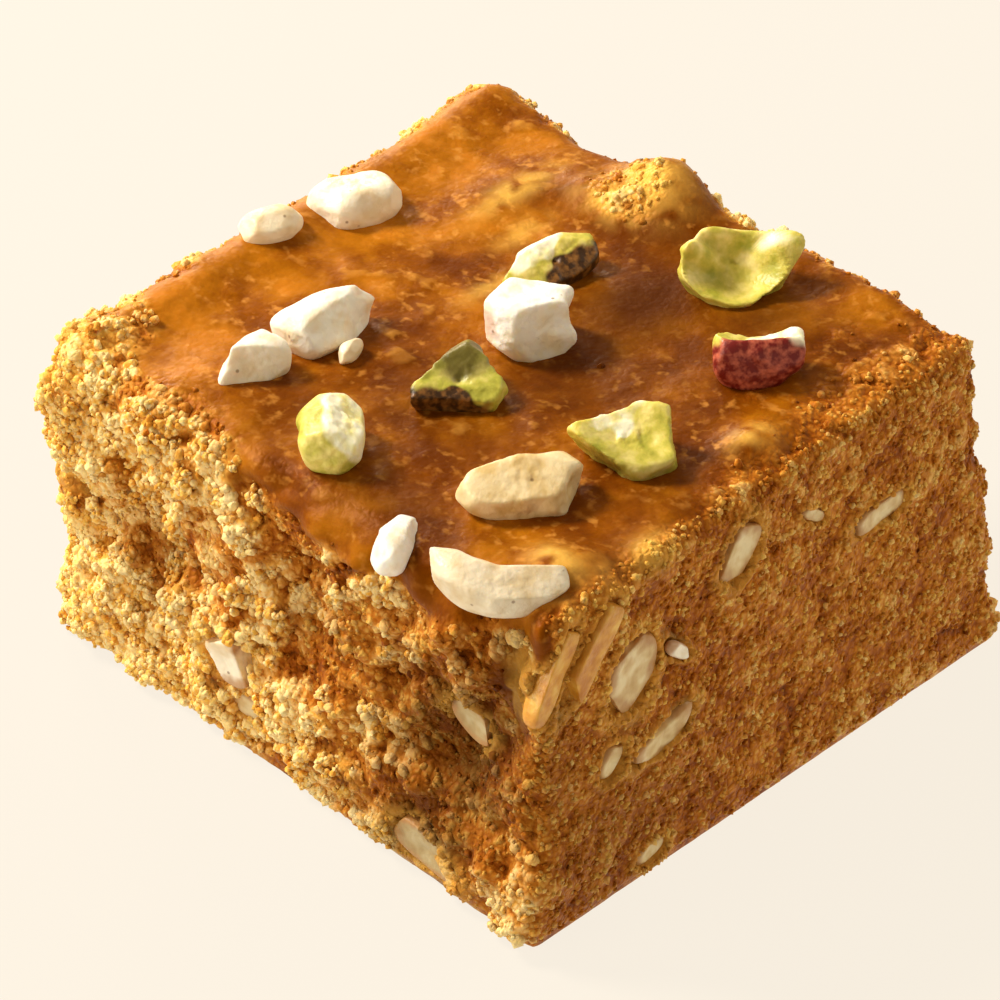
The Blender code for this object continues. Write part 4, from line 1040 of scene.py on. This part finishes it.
def random_turns(rng, count):
    """Even random turns as matrices, from unit quaternions."""
    w, x, y, z = rng.normal(size=(4, count))
    length = np.sqrt(w * w + x * x + y * y + z * z)
    w, x, y, z = w / length, x / length, y / length, z / length
    rows = [
        [1 - 2 * (y * y + z * z), 2 * (x * y - z * w), 2 * (x * z + y * w)],
        [2 * (x * y + z * w), 1 - 2 * (x * x + z * z), 2 * (y * z - x * w)],
        [2 * (x * z - y * w), 2 * (y * z + x * w), 1 - 2 * (x * x + y * y)],
    ]
    return np.moveaxis(np.array(rows), 2, 0)


def make_floor():
    """A plain pale floor, wide enough to fill the view."""
    mesh = bpy.data.meshes.new("floor")
    ends = ((-1, -1), (1, -1), (1, 1), (-1, 1))
    mesh.from_pydata([(x * FLOOR_REACH, y * FLOOR_REACH, -FLOOR_DROP) for x, y in ends], [], [(0, 1, 2, 3)])
    material, tree = new_material("Pale matt card")
    shader = add(tree, "BsdfPrincipled", {
        "Base Color": srgb("#3e3b36"),
        "Roughness": 0.9,
        "Specular IOR Level": 0.1,
        "Emission Color": srgb("#fff6e7"),
        "Emission Strength": 0.90,
    })
    add(tree, "OutputMaterial", [shader])
    mesh.materials.append(material)
    floor = bpy.data.objects.new("floor", mesh)
    bpy.context.scene.collection.objects.link(floor)


def add_light(name, toward, distance, size, power, colour):
    """A square soft light at a distance in millimetres from the middle of the square, facing it."""
    lamp = bpy.data.lights.new(name, "AREA")
    lamp.shape = "SQUARE"
    lamp.size = size * MM
    lamp.energy = power
    lamp.color = srgb(colour)[:3]
    stand = bpy.data.objects.new(name, lamp)
    way = Vector(toward).normalized()
    stand.location = (way * distance + Vector((0, 0, HEIGHT / 2))) * MM
    stand.rotation_euler = way.to_track_quat("Z", "Y").to_euler()
    bpy.context.scene.collection.objects.link(stand)


def set_camera():
    """The camera looks down over the near corner, as the photograph does."""
    azimuth, elevation = math.radians(AZIMUTH), math.radians(ELEVATION)
    back = Vector((
        math.sin(azimuth) * math.cos(elevation), -math.cos(azimuth) * math.cos(elevation), math.sin(elevation)
    ))
    right = Vector((math.cos(azimuth), math.sin(azimuth), 0))
    up = back.cross(right)
    target = Vector((0, 0, HEIGHT / 2)) + AIM_RIGHT * right + AIM_UP * up
    camera = bpy.data.cameras.new("camera")
    camera.lens = LENS
    camera.sensor_width = SENSOR
    camera.clip_start = 0.01
    stand = bpy.data.objects.new("camera", camera)
    turned = Matrix((right, up, back)).transposed().to_4x4()
    stand.matrix_world = Matrix.Translation((target + back * CAMERA_DISTANCE) * MM) @ turned
    bpy.context.scene.collection.objects.link(stand)
    bpy.context.scene.camera = stand


def set_light():
    """The soft lights, and a bright pale room."""
    for name, light in LIGHTS.items():
        add_light(name, *light)
    world = bpy.data.worlds.new("pale room")
    world.use_nodes = True
    backdrop = world.node_tree.nodes["Background"]
    backdrop.inputs["Color"].default_value = srgb(ROOM_COLOUR)
    backdrop.inputs["Strength"].default_value = ROOM_STRENGTH
    bpy.context.scene.world = world
    bpy.context.scene.view_settings.view_transform = "Standard"


def dress():
    """Makes every piece, sets it on the root body, and hides the solid that the square and each nut stand
    for."""
    crumb = barfi_material()
    kernels = {
        "cashew": cashew_material(),
        "pistachio": pistachio_material(),
        "inlay": steeped_material("Ghee-soaked cashew", SOAKED_FLESH, 0.36),
        "candied": steeped_material("Syrup-coated splinter", CANDIED_FLESH, 0.30),
    }
    square = make_square(crumb)
    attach(square, "root")
    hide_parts("barfi_block")
    for name, nut in NUTS.items():
        piece = make_nut(name, nut, kernels[nut.kind])
        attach(piece, "root")
        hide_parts(name)
    for name, (count, seed, faces, sizes, chance) in STREWN.items():
        strew = strew_clods if name == "golden_clods" else strew_grains
        piece = strew(name, count, seed, faces, sizes, chance, crumb)
        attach(piece, "root")


dress()
make_floor()
set_light()
set_camera()
